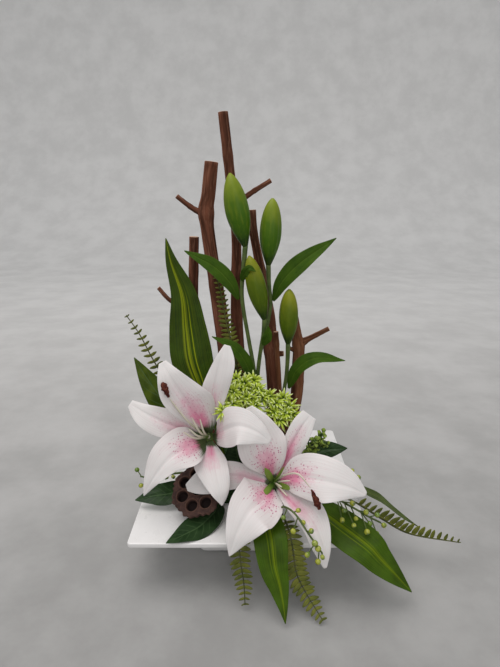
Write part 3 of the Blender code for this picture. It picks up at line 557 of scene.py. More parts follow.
# ------------------------------------------------------------------ buds and their stems
# Closed lily buds of six tepals folded together, on smooth green stems.  One stem forks
# to three buds; a second one carries a single bud.


def swayed(tree, value, grain, amount):
    """Value moved to and fro by a noise: plus amount times what grain is above a half."""
    above = calc(tree, "SUBTRACT", grain, 0.5)
    return calc(tree, "ADD", value, times(tree, above, amount))


def bud_skin(name, middle, tip):
    """Bud: yellow-green at the tip, deep green at the base, with paler streaks along it."""
    mat, tree = new_finish(name, 0.45, 0.22,
                           Subsurface_Weight=0.05, Subsurface_Radius=(0.002, 0.003, 0.001))
    lay = lay_of(tree)
    spread = mark(tree, "spread")
    blotch = noise(tree, stretched(tree, spread, (1.0, 0.12, 1.0)), 260.0, 3.0)
    cloud = noise(tree, spread, 60.0, 2.0)
    place = swayed(tree, lay[1], cloud, 0.5)
    low = shade(tree, place, 0.0, 0.42, (0.013, 0.038, 0.003), middle)
    whole = shade(tree, place, 0.40, 1.0, low, tip)
    green = shade(tree, blotch, 0.45, 0.72, whole, (0.18, 0.24, 0.015), 0.45)
    return dressed(mat, green, blotch, 0.25, 0.4)


def make_bud(name, node, points, radius, turn, taper, finish):
    """Spindle of six folded tepals: three broad ridges and three creases between them.

    The radius rises as a quarter sine to the middle, then falls as (1 - u squared) to the
    power taper: the lower the power, the blunter the tip."""
    stations, size = 56, 48
    path = route(points, stations)
    at = np.linspace(0.0, 1.0, stations)
    foot = 0.22
    rise = foot + (1.0 - foot) * np.sin(np.pi * np.minimum(at, 0.5))
    full = rise * (1.0 - np.clip(2.0 * at - 1.0, 0.0, 0.99) ** 2) ** taper
    a = around(size)
    ridge = np.abs(np.sin(1.5 * (a + turn)))[None, :]
    depth = (0.10 * np.sin(np.pi * at) ** 0.5)[:, None]
    swell = 1.0 - depth * (1.0 - ridge) ** 3 + 0.02 * np.cos(3 * (a + turn))
    make_piece(name, [shell(sweep(path, radius * full, radius * full, ROUND, a, 0.0, swell))],
               [finish], [node])


bud_green = bud_skin("bud_green", (0.050, 0.128, 0.002), (0.20, 0.255, 0.014))
bud_olive = bud_skin("bud_olive", (0.072, 0.122, 0.001), (0.235, 0.255, 0.012))
for name, node, points, radius, turn, taper, finish in (
        ("tall_bud", "bud_1", [(-5, -15, 351), (-13, -15, 386), (-21, -14, 426)],
         12.9, 0.3, 0.68, bud_green),
        ("right_bud", "bud_2", [(20, -10, 330), (22, -10, 363), (24, -10, 401)],
         11.8, 1.4, 0.60, bud_green),
        ("middle_bud", "bud_3", [(16, -22, 272), (8, -23, 305), (-1, -22, 342)],
         10.8, 0.9, 0.62, bud_olive),
        ("low_bud", "bud_4", [(43, -16, 242), (43, -16, 274), (43, -16, 305)],
         11.0, 2.0, 0.58, bud_olive)):
    make_bud(name, node, points, radius, turn, taper, finish)


def stem_skin():
    """Smooth plant stem: mid green in soft patches, with faint lengthwise ribs."""
    mat, tree = new_finish("stem_green", 0.5, 0.22)
    spread = mark(tree, "spread")
    ribs = noise(tree, stretched(tree, spread, (1.0, 0.05, 1.0)), 900.0, 2.0)
    cloud = noise(tree, spread, 90.0, 3.0)
    green = shade(tree, cloud, 0.3, 0.7, (0.060, 0.095, 0.026), (0.110, 0.150, 0.042))
    green = shade(tree, ribs, 0.45, 0.9, green, (0.10, 0.15, 0.03))
    return dressed(mat, green, ribs, 0.3, 0.3)


def stalk(points, radii, stations=50, size=14, finish=0):
    """Round stem whose radius runs through radii."""
    radius = spaced(radii, np.linspace(0.0, 1.0, stations))
    return shell(sweep(route(points, stations), radius, radius, ROUND, around(size)), finish)


stem_green = stem_skin()
spray_main = standing((8, -6, 46), (8, -8, 118), (8, -10, 170), (9, -13, 205), (12, -19, 236),
                      (15, -21, 255), (16, -22, 273))
spray_left = [(8, -11, 186), (4, -14, 215), (-2, -17, 251), (-7, -18, 281), (-9, -18, 303),
              (-7, -17, 328), (-5, -15, 352)]
spray_back = [(11, -17, 228), (16, -16, 250), (21, -12, 272), (23, -10, 290), (21, -10, 310),
              (20, -10, 331)]
single_stem = standing((33, -2, 46), (34, -3, 116), (36, -5, 150), (40, -8, 182), (42, -11, 200),
                       (43, -14, 220), (43, -16, 243))
make_piece("bud_spray_stems",
           [stalk(spray_main, [2.8, 2.7, 2.6, 2.5, 2.4, 2.2, 2.6]),
            stalk(spray_left, [1.8, 2.3, 2.2, 2.2, 2.3, 2.9]),
            stalk(spray_back, [1.8, 2.2, 2.1, 2.2, 2.8])],
           [stem_green], ["bud_spray_stem"])
make_piece("single_bud_stem", [stalk(single_stem, [2.4, 2.4, 2.3, 2.3, 2.2, 2.7])],
           [stem_green], ["bud_single_stem"])

# ------------------------------------------------------------------ lily leaves
# Narrow pointed leaves along the bud stems, folded a little along the middle, with
# parallel veins; a sheath at one fork and a curled bract below the middle bud.


def along_blade(values, places):
    """Values given at even steps, read at places from 0 to 1 and smoothed."""
    line = spaced(values, places)
    soft = 2 * (len(places) // (2 * len(values))) + 3
    padded = np.pad(line, soft // 2, "reflect", reflect_type="odd")
    return np.convolve(padded, np.full(soft, 1 / soft), "valid")


def blade(points, right, thick, face, lift, left=None, stations=64, size=36, neck=0.0,
          stalk_at=0.0, crease=0.0, wave=0.0, waves=3.0, phase=0.0, curl=0.0):
    """Thin closed leaf.

    right and left give the widths on each side of the midrib at even steps from the
    blade's base to its tip; a round stalk runs up to neck of the length.  Across the
    blade, at x from -1 to 1, a point rises by lift * width * x^2, sinks by crease along
    the midrib, goes up and down by wave millimetres near the margins, and curls back
    by curl * width * x^4 towards the tip.
    """
    path = route(points, stations)
    at = np.linspace(0.0, 1.0, stations)
    on_blade = np.clip((at - neck) / (1.0 - neck), 0.0, 1.0)
    right = along_blade(right, on_blade)
    left = right if left is None else along_blade(left, on_blade)
    wide = np.maximum((right + left) / 2, 0.25)
    shift = ((right - left) / 2)[:, None]
    flat = np.clip(on_blade * 8, 0.0, 1.0) if neck else np.ones(stations)
    deep = np.minimum(stalk_at + (thick / 2 - stalk_at) * flat, wide)
    a = around(size, 0.25)
    across = wide[:, None] * np.cos(a) + shift
    reach = np.where(across > 0, wide[:, None] + shift, wide[:, None] - shift)
    x = np.clip(across / np.maximum(reach, 0.3), -1.0, 1.0)
    middle = np.sin(np.pi * on_blade)[:, None]
    turns = 2 * np.pi * waves * on_blade[:, None] + phase + 0.9 * np.sign(x)
    ruffle = np.abs(x) ** 3 * np.sin(turns)
    rise = (lift - curl * x ** 2 * on_blade[:, None] ** 2) * np.maximum(reach, 0.3) * x ** 2
    rise = rise + wave * ruffle * middle - crease * np.exp(-(x / 0.13) ** 2) * middle
    rise = rise * flat[:, None]
    rings, marks = sweep(path, wide, deep, face, a, rise, 1.0, shift)
    marks["lay"][..., 0] = x
    marks["lay"][..., 1] = on_blade[:, None]
    return skin(rings, marks)


def pointed(full, widest=0.45, base=1.4, tip=0.5, steps=24):
    """Half widths of a pointed leaf: a sine bent so that it peaks at widest."""
    at = np.linspace(0.0, 1.0, steps + 1)
    swell = np.clip(np.sin(np.pi * at ** (math.log(0.5) / math.log(widest))), 0.0, 1.0)
    ends = base + (tip - base) * at
    return ends + (full - ends) * swell


def margin(full, widest, hollow=1.0, blunt=1.6, end=0.6, foot=2.3, steps=40):
    """Distance from the midrib to one edge: from foot it grows as a quarter sine to the
    power hollow, is full at widest, then falls to end by a power, blunt, of what is left."""
    at = np.linspace(0.0, 1.0, steps + 1)
    growing = np.sin(np.pi / 2 * np.minimum(at / widest, 1.0)) ** hollow
    falling = np.maximum(at - widest, 0.0) / (1.0 - widest)
    return foot + (full - foot) * growing - (full - end) * falling ** blunt


def veins_effect():
    """Group: fine parallel lines along a leaf.  They keep their place across it and
    waver a little along it."""
    group, way_in = new_group("parallel_veins", "Across:Float Along:Float Lines:Float", "Tone:Float")
    place = put(group, "CombineXYZ", {0: times(group, way_in["Across"], way_in["Lines"]),
                                      1: times(group, way_in["Along"], 2.5)}).outputs[0]
    lines = noise(group, place, 1.0, 2.0, 0.5)
    return give_out(group, Tone=step_up(group, lines, 0.3, 0.7))


parallel_veins = veins_effect()


def veins(tree, across, along, lines):
    """Tone of the parallel veins, from 0 in the furrows to 1 on the ribs."""
    inputs = {"Across": across, "Along": along, "Lines": lines}
    return put(tree, "Group", inputs, node_tree=parallel_veins).outputs["Tone"]


def lily_leaf_skin():
    """Lily leaf: mid green with darker furrows, a pale keel and paler edges."""
    mat, tree = new_finish("lily_leaf_green", 0.55, 0.08)
    lay = lay_of(tree)
    lines = veins(tree, lay[0], lay[1], 16.0)
    cloud = noise(tree, mark(tree, "spread"), 45.0, 3.0)
    deep = shade(tree, cloud, 0.3, 0.7, (0.020, 0.055, 0.004), (0.050, 0.108, 0.006))
    green = tint(tree, lines, deep, (0.062, 0.118, 0.010), 0.5)
    x = calc(tree, "ABSOLUTE", lay[0])
    green = shade(tree, x, 0.07, 0.0, green, (0.10, 0.16, 0.02), 0.55)
    green = shade(tree, x, 0.90, 1.0, green, (0.11, 0.15, 0.03), 0.5)
    return dressed(mat, green, lines, 0.35, 0.3)


lily_leaf_green = lily_leaf_skin()
for name, node, points, full, face, extra in (
        ("left_lily_leaf", "bud_leaf_left",
         [(-12.5, -18.8, 294), (-22, -21, 313), (-40, -21, 331), (-70, -20, 347)],
         9.0, (0.1, -1.0, 0.5), {}),
        ("right_lily_leaf", "bud_leaf_right",
         [(25.8, -12, 291), (36, -17, 314), (57, -18, 336), (92, -16, 360)],
         10.0, (-0.1, -1.0, 0.4), {}),
        ("low_right_lily_leaf", "bud_leaf_low_right",
         [(45, -12, 187), (54, -19, 213), (74, -24, 228), (107, -24, 225)],
         9.0, (-0.1, -0.8, 0.9), {}),
        ("low_left_lily_leaf", "bud_leaf_low_left",
         [(5.0, -15, 193), (-4, -22, 220), (-18, -26, 241), (-42, -27, 254)],
         8.0, (0.2, -0.9, 0.8), {}),
        ("sheath_leaf", "bud_sheath_leaf", [(14.8, -23.4, 243), (19, -27, 254), (20, -27, 266)],
         5.5, (0.1, -1.0, 0.2), {"stations": 30}),
        ("curled_bract", "bud_bract",
         [(-8.9, -20.9, 315), (-6, -27, 323), (-1, -32, 330), (6, -34, 327)],
         4.6, (0.0, -1.0, 0.4), {"stations": 36})):
    make_piece(name, [blade(points, pointed(full), 0.9, face, 0.16, crease=0.8, wave=0.7, **extra)],
               [lily_leaf_green], [node])

# ------------------------------------------------------------------ striped and dark leaves
# Leaves on long round stalks pushed into the foam: dracaena-like ones with yellow-green
# stripes between dark margins, and small glossy dark ones of camellia.


def striped_skin(name, dark, light, amount, spread):
    """Striped leaf: a few yellow-green bands beside the midrib, within spread of it, that
    keep their place across the blade; dark margins and a smooth waxy face."""
    mat, tree = new_finish(name, 0.48, 0.12)
    lay = lay_of(tree)
    fine = veins(tree, lay[0], lay[1], 26.0)
    broad = veins(tree, lay[0], times(tree, lay[1], 0.25), 9.0)
    x = calc(tree, "ABSOLUTE", lay[0])
    inside = step_up(tree, x, spread, 0.4 * spread)
    stripe = times(tree, step_up(tree, broad, 0.52, 0.80), inside)
    cloud = noise(tree, mark(tree, "spread"), 50.0, 3.0)
    ground = shade(tree, cloud, 0.3, 0.7, dark, tuple(1.7 * part for part in dark))
    green = tint(tree, stripe, ground, light, amount)
    green = tint(tree, fine, green, light, 0.13)
    green = shade(tree, x, 0.05, 0.0, green, light, 0.5)
    return dressed(mat, green, fine, 0.3, 0.3, roughness=step_up(tree, fine, -1.2, 2.6))


upright_striped, front_striped, plain_striped = (striped_skin(*look) for look in (
    ("bright_striped_leaf", (0.015, 0.036, 0.002), (0.24, 0.29, 0.006), 0.95, 0.42),
    ("striped_leaf_green", (0.028, 0.062, 0.003), (0.17, 0.24, 0.006), 0.85, 0.30),
    ("narrow_leaf_green", (0.042, 0.062, 0.014), (0.12, 0.155, 0.04), 0.4, 0.4)))
for name, node, points, stem, outline, face, lift, neck, finish, folds in (
        ("upright_striped_leaf", "striped_leaf_upright",
         standing((-30, -20, 50), (-33, -20, 112), (-43, -20, 150), (-56, -18, 192),
                  (-66, -13, 222), (-71, -5, 257), (-75, 0, 295), (-88, 5, 332), (-94, 8, 358)),
         2.4, margin(24, 0.37, 0.8, 1.35), (0.1, -1.0, 0.15), 0.06, 0.34,
         upright_striped, {"crease": 1.6, "wave": 1.4, "waves": 2.5, "stations": 110, "size": 48}),
        ("front_striped_leaf", "striped_leaf_front",
         standing((10, -38, 76), (13, -80, 80), (16, -108, 81), (20, -133, 75), (23, -145, 54),
                  (28, -152, 37), (32, -160, 20), (34, -166, 7)),
         2.0, pointed(17.0, 0.40, 2.0), (0.1, -0.85, 0.7), 0.12, 0.22, front_striped,
         {"crease": 1.4, "wave": 1.0, "waves": 2.0, "stations": 96, "size": 44}),
        ("right_striped_leaf", "striped_leaf_right",
         standing((44, -38, 74), (62, -76, 78), (76, -97, 80), (94, -116, 76), (116, -134, 68),
                  (128, -138, 56), (142, -141, 42), (162, -141, 20)),
         2.0, pointed(19.0, 0.42, 2.0), (-0.1, -0.8, 0.8), 0.10, 0.20, front_striped,
         {"crease": 1.4, "wave": 1.0, "waves": 2.2, "phase": 1.0, "stations": 96, "size": 44}),
        ("narrow_right_leaf", "narrow_leaf_right",
         standing((42, -22, 78), (72, -38, 92), (104, -52, 91), (133, -58, 79), (149, -61, 72),
                  (168, -64, 56), (193, -67, 39)),
         1.8, pointed(8.0, 0.45, 1.8), (0.4, -0.1, 0.9), 0.10, 0.30, plain_striped,
         {"crease": 0.8, "wave": 0.5})):
    make_piece(name, [blade(points, outline, 1.0, face, lift, neck=neck, stalk_at=stem, **folds)],
               [finish], [node])


def camellia_skin(name, deep, lit):
    """Leathery leaf: deep green clouded with a lighter one, a pale midrib, side veins that
    lean towards the tip, and a matt lighter underside."""
    mat, tree = new_finish(name, 0.48, 0.12)
    lay = lay_of(tree)
    x = calc(tree, "ABSOLUTE", lay[0])
    slant = times(tree, lay[1], 60.0)
    slant = calc(tree, "SUBTRACT", slant, times(tree, x, 11.0))
    side = step_up(tree, calc(tree, "SINE", slant), 0.80, 0.99)
    side = times(tree, side, step_up(tree, x, 0.95, 0.5))
    middle = step_up(tree, x, 0.075, 0.02)
    vein = calc(tree, "MAXIMUM", middle, times(tree, side, 0.55))
    cloud = noise(tree, mark(tree, "spread"), 60.0, 4.0)
    green = shade(tree, cloud, 0.3, 0.7, deep, lit)
    green = tint(tree, vein, green, (0.085, 0.15, 0.06), 0.5)
    under = step_up(tree, lay[2], -0.02, -0.2)
    green = tint(tree, under, green, (0.07, 0.13, 0.06), 0.45)
    height = calc(tree, "SUBTRACT", cloud, times(tree, vein, 0.8))
    return dressed(mat, green, height, 0.35, 0.5, roughness=step_up(tree, under, -1.5, 3.0))


camellia_leaf = camellia_skin("dark_camellia_leaf", (0.015, 0.036, 0.012), (0.031, 0.064, 0.023))
olive_leaf = camellia_skin("olive_camellia_leaf", (0.036, 0.062, 0.006), (0.085, 0.125, 0.012))
for name, node, points, stem, full, widest, face, neck, phase in (
        ("broad_left_leaf", "broad_leaf_left",
         standing((-38, -30, 56), (-50, -30, 108), (-64, -29, 130), (-88, -27, 162),
                  (-112, -22, 194), (-132, -16, 226)),
         2.0, 18.0, 0.50, (-0.2, -1.0, 0.5), 0.22, 0.0),
        ("front_left_dark_leaf", "dark_leaf_front_left",
         standing((-40, -18, 74), (-70, -38, 76), (-90, -58, 78), (-110, -64, 78),
                  (-129, -66, 74)),
         1.6, 14.0, 0.50, (-0.1, -0.65, 0.9), 0.25, 1.1),
        ("front_dark_leaf", "dark_leaf_front",
         standing((-24, -40, 72), (-38, -82, 70.6), (-53, -103, 68.2), (-69, -117, 68),
                  (-84, -129, 68)),
         1.6, 15.5, 0.46, (0.0, -0.4, 0.9), 0.25, 2.3),
        ("middle_dark_leaf", "dark_leaf_middle",
         standing((-4, -34, 60), (-10, -46, 104), (-14, -54, 122), (-16, -62, 148)),
         1.6, 14.0, 0.50, (0.0, -1.0, 0.3), 0.44, 3.6),
        ("right_dark_leaf", "dark_leaf_right",
         standing((40, -16, 72), (60, -20, 101), (84, -25, 113), (114, -30, 119)),
         1.6, 10.5, 0.55, (0.0, -0.9, 0.6), 0.30, 4.8)):
    leaf = blade(points, pointed(full, widest, stem), 1.0, face, 0.10, neck=neck, stalk_at=stem,
                 crease=1.2, wave=1.0, waves=2.6, phase=phase, size=40)
    finish = olive_leaf if node == "broad_leaf_left" else camellia_leaf
    make_piece(name, [leaf], [finish], [node])

# ------------------------------------------------------------------ fern fronds
# Fern fronds stood in the foam by their bare lower midribs.  Each has a thin midrib and
# pairs of narrow leaflets that shorten towards the tip.


def fern_skin():
    """Leaflets: olive green, darker along the middle and in patches, with fine veins."""
    mat, tree = new_finish("fern_green", 0.55, 0.2)
    lay = lay_of(tree)
    cloud = noise(tree, here_of(tree), 70.0, 3.0)
    fine = veins(tree, lay[0], lay[1], 9.0)
    green = shade(tree, cloud, 0.3, 0.7, (0.066, 0.082, 0.012), (0.185, 0.190, 0.028))
    green = tint(tree, fine, green, (0.14, 0.17, 0.03), 0.35)
    x = calc(tree, "ABSOLUTE", lay[0])
    green = shade(tree, x, 0.16, 0.0, green, (0.03, 0.07, 0.02), 0.4)
    return dressed(mat, green, fine, 0.4, 0.3)


def frond(name, node, points, pairs, full, face, bare, seed, fold=0.0):
    """Midrib swept along the route, and leaflets in pairs from bare of its length on.

    A leaflet leaves the midrib sideways, raised by fold degrees, and leans forward; its
    length is full times sin(pi * (0.22 + 0.71 * place)) ^ 0.7, and its width follows a
    sine of its own length that peaks a third of the way out.
    """
    fine_steps = 240
    dense = route(points, fine_steps)
    draw = np.random.default_rng(seed)
    place = np.linspace(0.02, 0.985, pairs)
    index = np.rint((bare + (1.0 - bare) * place) * (fine_steps - 1)).astype(int)
    along = unit(np.gradient(dense, axis=0))[index]
    side = unit(np.cross(along, face))
    up = np.cross(side, along)
    reach = full * np.sin(np.pi * (0.22 + 0.71 * place)) ** 0.7
    hand = np.tile([1.0, -1.0], pairs)[:, None]
    along, side, up, root = (np.repeat(v, 2, axis=0) for v in (along, side, up, dense[index]))
    reach = np.repeat(reach, 2) * draw.uniform(0.88, 1.08, 2 * pairs)
    lean, sag = draw.uniform(0.22, 0.42, (2, 2 * pairs, 1))
    steps = np.linspace(0.0, 1.0, 9)
    fold = math.radians(fold)
    level, up = hand * side, math.cos(fold) * up - math.sin(fold) * hand * side
    raised = math.cos(fold) * level + math.sin(fold) * np.cross(side, along)
    out = unit(raised + lean * along)[:, None, :] * steps[:, None]
    bend = (sag - 0.25)[:, None, :] * up[:, None, :] * (steps[:, None] ** 2)
    paths = root[:, None, :] + (out + bend) * reach[:, None, None] * MM
    bulge = np.sin(np.pi * np.clip(steps, 0.03, 0.97) ** 0.66) ** 0.7
    wide = 0.4 + (0.225 * reach[:, None] - 0.4) * bulge
    wide[:, -1] *= 0.35
    leaflets = shell(sweep(paths, wide, np.minimum(wide, 0.45), up[:, None, :], around(8)))
    make_piece(name, [leaflets, stalk(points, [1.5, 0.55], 90, 10, 1)],
               [fern_green, fern_rib], [node])


def fern_rib_skin():
    """Midrib: dark green, browner in patches, finely ribbed along its length."""
    mat, tree = new_finish("fern_midrib", 0.55, 0.3)
    spread = mark(tree, "spread")
    ribs = noise(tree, stretched(tree, spread, (1.0, 0.08, 1.0)), 700.0, 2.0)
    green = shade(tree, ribs, 0.35, 0.7, (0.040, 0.052, 0.012), (0.10, 0.105, 0.030))
    return dressed(mat, green, ribs, 0.4, 0.3)


fern_green, fern_rib = fern_skin(), fern_rib_skin()
frond("upper_left_fern", "fern_upper_left",
      standing((-44, -4, 60), (-52, -3, 112), (-72, -2, 150), (-94, -1, 184), (-112, 0, 214),
               (-128, 0, 249), (-142, 0, 272)), 19, 9.4, (0.0, -1.0, 0.1), 0.40, 11)
frond("middle_fern", "fern_middle",
      standing((-10, -20, 54), (-10, -20, 112), (-9, -16, 160), (-15, -10, 213), (-26, -9, 262),
               (-33, -9, 302), (-38, -9, 318)), 28, 9.8, (0.0, -1.0, 0.1), 0.42, 12)
frond("front_left_fern", "fern_front_left",
      standing((-10, -38, 68), (-12, -82, 74), (-12, -112, 76), (-11, -131, 68), (-9, -137, 50),
               (-6, -141, 28), (-5, -145, 8)), 16, 11.5, (0.0, -1.0, 0.5), 0.42, 13)
frond("front_right_fern", "fern_front_right",
      standing((26, -38, 68), (32, -82, 73), (38, -110, 76), (42, -129, 67), (46, -138, 42),
               (53, -144, 27), (63, -153, 14), (71, -161, 5)), 20, 13.0, (0.1, -1.0, 0.5), 0.40, 14)
frond("right_fern", "fern_right",
      standing((44, -30, 68), (76, -58, 79), (96, -70, 84), (116, -76, 78), (131, -76, 68),
               (148, -76, 56), (180, -77, 38), (234, -81, 30)), 18, 13.5,
      (0.0, -0.35, 0.94), 0.42, 15, 55.0)

# ------------------------------------------------------------------ lilies
# Two open lilies of six free petals each, white with a pink blush and magenta spots
# towards a green throat.  The petals stand on the flared end of the flower's stem.
LILY_LEFT = np.array([-45.0, -62.0, 150.0])
LILY_RIGHT = np.array([25.0, -88.0, 111.0])
FACING = unit(np.array([0.0, -0.82, 0.57]))
PETAL_RING, SEAT_GAP, PETAL_THICK = 5.2, 0.45, 1.4


def petal_effect():
    """Group: pink streaks that fade with distance from the midrib and from the throat,
    darker spots, a green throat, and the height of the veins and the raised spots."""
    group, way_in = new_group(
        "petal_blush", "Lay:Vector Spread:Vector Blush:Float Reach:Float Spots:Float Green:Float",
        "Color:Color Height:Float")
    lay = put(group, "SeparateXYZ", {0: way_in["Lay"]}).outputs
    x = calc(group, "ABSOLUTE", lay[0])
    lines = veins(group, lay[0], times(group, lay[1], 0.6), 15.0)
    cloud = noise(group, way_in["Spread"], 70.0, 4.0, 0.6)
    drift = swayed(group, swayed(group, 0.0, cloud, 0.45), lines, 0.16)
    place = calc(group, "ADD", lay[1], drift)
    near = step_up(group, place, way_in["Reach"], 0.10)
    middle = step_up(group, calc(group, "ADD", x, drift), 0.72, 0.02)
    pink = times(group, times(group, near, middle), way_in["Blush"])
    pink = calc(group, "MINIMUM", times(group, pink, calc(group, "ADD", lines, 0.45)), 0.92)
    ivory = tint(group, lines, (0.735, 0.71, 0.70), (0.775, 0.755, 0.745))
    ivory = shade(group, lay[1], 0.9, 0.1, ivory, (0.74, 0.52, 0.57), 0.16)
    colour = tint(group, pink, ivory, (0.74, 0.22, 0.37))
    dots = put(group, "TexVoronoi", {"Vector": way_in["Spread"], "Scale": 430.0}).outputs["Distance"]
    ground = times(group, near, step_up(group, x, 0.92, 0.35))
    spot = times(group, step_up(group, dots, 0.34, 0.22), step_up(group, ground, 0.03, 0.22))
    spot = times(group, times(group, spot, way_in["Spots"]), 0.8)
    colour = tint(group, spot, colour, (0.46, 0.07, 0.20))
    foot = calc(group, "ADD", lay[1], times(group, drift, 0.25))
    edge = step_up(group, foot, way_in["Green"], 0.01)
    throat = calc(group, "MINIMUM", times(group, edge, 2.2), 0.96)
    colour = tint(group, throat, colour, (0.042, 0.082, 0.018))
    height = calc(group, "ADD", times(group, lines, 0.5), spot)
    return give_out(group, Color=colour, Height=height)


petal_blush = petal_effect()


def petal_skin(name, blush, reach, spots, green):
    """Petal: waxy white, its blush, spots, green foot and veins from the shared group."""
    mat, tree = new_finish(name, 0.55, 0.25,
                           Subsurface_Weight=0.10, Subsurface_Radius=(0.003, 0.0022, 0.0022))
    inputs = {"Lay": mark(tree, "lay"), "Spread": mark(tree, "spread"), "Blush": blush,
              "Reach": reach, "Spots": spots, "Green": green}
    look = put(tree, "Group", inputs, node_tree=petal_blush).outputs
    return dressed(mat, look["Color"], look["Height"], 0.3, 0.35)


def petal_foot(turn, first):
    """Where a petal stands: on the ring of feet, turned round the flower's axis, lifted
    by half the petal's thickness and a hair."""
    across = np.array([1.0, 0.0, 0.0])
    above = unit(np.cross(across, -FACING))
    outward = across * math.cos(math.radians(turn)) + above * math.sin(math.radians(turn))
    lean = unit(first - PETAL_RING * outward) @ FACING
    height = SEAT_GAP + PETAL_THICK / 2 * math.sqrt(max(0.0, 1.0 - lean ** 2))
    return PETAL_RING * outward + height * FACING


def make_petal(lily, flower, throat, side, turn, points, right, left, look, **form):
    """Petal from its foot through points; right and left are the margins each side of
    the midrib.  The edges rise, the midrib sinks and the margins ruffle."""
    points = np.array(points, float)
    stops = throat + np.vstack([petal_foot(turn, points[0]), points])
    form = {"crease": 0.9, "wave": 1.5, "waves": 2.3, "curl": 0.10, **form}
    petal = blade(stops, margin(*right), PETAL_THICK, FACING, 0.08, margin(*left),
                  stations=90, size=64, **form)
    make_piece(f"{lily}_petal_{side}", [petal], [petal_skin(f"{lily}_petal_{side}_white", *look)],
               [f"{flower}_petal_{side}"])


# each petal: its side, turn and midrib, then (full, widest, hollow, blunt, end) for the
# right and the left edge, then its blush, reach, spots and green foot
for side, turn, points, right, left, look, form in (
        ("upper_left", 130, [(-6, -13, 22), (-20, -24, 51), (-34, -24, 77), (-43, -17, 92)],
         (26, 0.47, 1.0, 1.2, 4), (19.5, 0.68, 1.9, 1.5, 4), (1.35, 0.80, 0.45, 0.24),
         {"phase": 0.4}),
        ("top", 72, [(5, -5, 28), (9, -9, 62), (14, -5, 88), (19, 1, 105)],
         (16.3, 0.78, 1.5, 2.0, 6), (13.5, 0.55, 1.7, 1.2), (1.3, 0.65, 0.3, 0.27), {"phase": 1.9}),
        ("left", 190, [(-20, -2, 8), (-43, -10, 21), (-63, -9, 31), (-82, -4, 41)],
         (15.3, 0.54, 1.2, 1.1, 4.5), (16.3, 0.62, 1.1, 2.0, 4), (0.7, 0.80, 0.3, 0.16),
         {"phase": 3.1}),
        ("lower_left", -122, [(-17, -22, 1), (-36, -37, -4), (-52, -45, -22), (-63, -47, -41)],
         (24, 0.33, 1.0, 1.6), (20.5, 0.34, 0.75, 1.05), (1.15, 0.56, 0.9, 0.22),
         {"phase": 4.4}),
        ("right", 12, [(18, -24, 20), (34, -38, 32), (51, -42, 28), (65, -42, 17)],
         (19.4, 0.55, 0.75, 2.0, 3), (21.5, 0.50, 2.0, 1.3, 3), (0.8, 0.42, 0.3, 0.22),
         {"phase": 5.2, "wave": 1.1}),
        ("bottom", -60, [(3, -18, -13), (7, -34, -26), (12, -44, -39), (16.5, -47.5, -52.5)],
         (18.3, 0.38, 1.1, 1.15), (17, 0.42, 0.95, 3.0), (1.0, 0.55, 0.1, 0.12), {"phase": 0.9})):
    make_petal("left_lily", "lily1", LILY_LEFT, side, turn, points, right, left, look, **form)
for side, turn, points, right, left, look, form in (
        ("upper_left", 118, [(-6, -2, 24), (-15, 2, 47), (-21, 8, 67), (-26, 14, 80)],
         (26.5, 0.50, 1.0, 1.6, 4), (25.3, 0.46, 1.15, 1.8, 3), (1.2, 0.58, 1.1, 0.06),
         {"phase": 1.2}),
        ("top", 62, [(11, 4, 22), (20, 6, 43), (29, 9, 59), (38, 13, 71)],
         (13.2, 0.60, 0.7, 2.0, 7), (11.5, 0.80, 1.2, 2.0, 9), (1.35, 0.95, 0.5, 0.05),
         {"crease": 1.8, "wave": 0.9, "phase": 2.7}),
        ("right", 6, [(24, -22, 19), (48, -36, 24), (70, -40, 20), (88, -39, 11)],
         (21.3, 0.57, 0.9, 1.35, 1.5), (25, 0.47, 1.2, 2.1, 3), (1.4, 0.58, 1.2, 0.05),
         {"phase": 3.9, "wave": 1.8}),
        ("lower_right", -50, [(18, -28, -8), (34, -47, -16), (44, -59, -34), (48, -64, -52)],
         (9.8, 0.70, 0.8, 2.0, 2.5), (21, 0.50, 1.8, 1.1, 1), (0.9, 0.75, 0.2, 0.05),
         {"phase": 5.0, "wave": 1.0}),
        ("lower_left", -112, [(-11, -24, -3), (-26, -42, -6), (-38, -53, -23), (-45, -58, -44)],
         (28.5, 0.31, 0.9, 1.15), (26.5, 0.38, 0.75, 1.7), (1.2, 0.44, 1.1, 0.04),
         {"phase": 0.2}),
        ("left", 178, [(-25, 0, 5), (-48, 1, 7), (-70, 2, 2), (-93, 4, -9)],
         (15.3, 0.50, 1.0, 2.2, 3.5), (15.5, 0.62, 0.9, 2.4, 4), (0.7, 0.60, 0.2, 0.05),
         {"phase": 2.0})):
    make_petal("right_lily", "lily2", LILY_RIGHT, side, turn, points, right, left, look, **form)


def make_flower_stem(name, node, points, throat):
    """Stem that swells, in its last 5 mm, into the flat seat of the petals."""
    stations, stem_radius = 30, 2.6
    ends = [throat - FACING * gap for gap in (14.0, 5.0, 2.0, 0.0)]
    line = route([*points, ends[0]], stations)
    line = np.vstack([line, np.array(ends[1:]) * MM])
    size = np.concatenate([np.full(stations, stem_radius), [3.0, 5.6, 6.2]])
    make_piece(name, [shell(sweep(line, size, size, (1.0, 0.02, 0.03), around(20)))],
               [stem_green], [node])


make_flower_stem("left_lily_stem", "lily1_stem", standing((-28, -34, 56), (-35, -42, 112)), LILY_LEFT)
make_flower_stem("right_lily_stem", "lily2_stem", standing((18, -36, 62), (22, -62, 88)),
                 LILY_RIGHT)


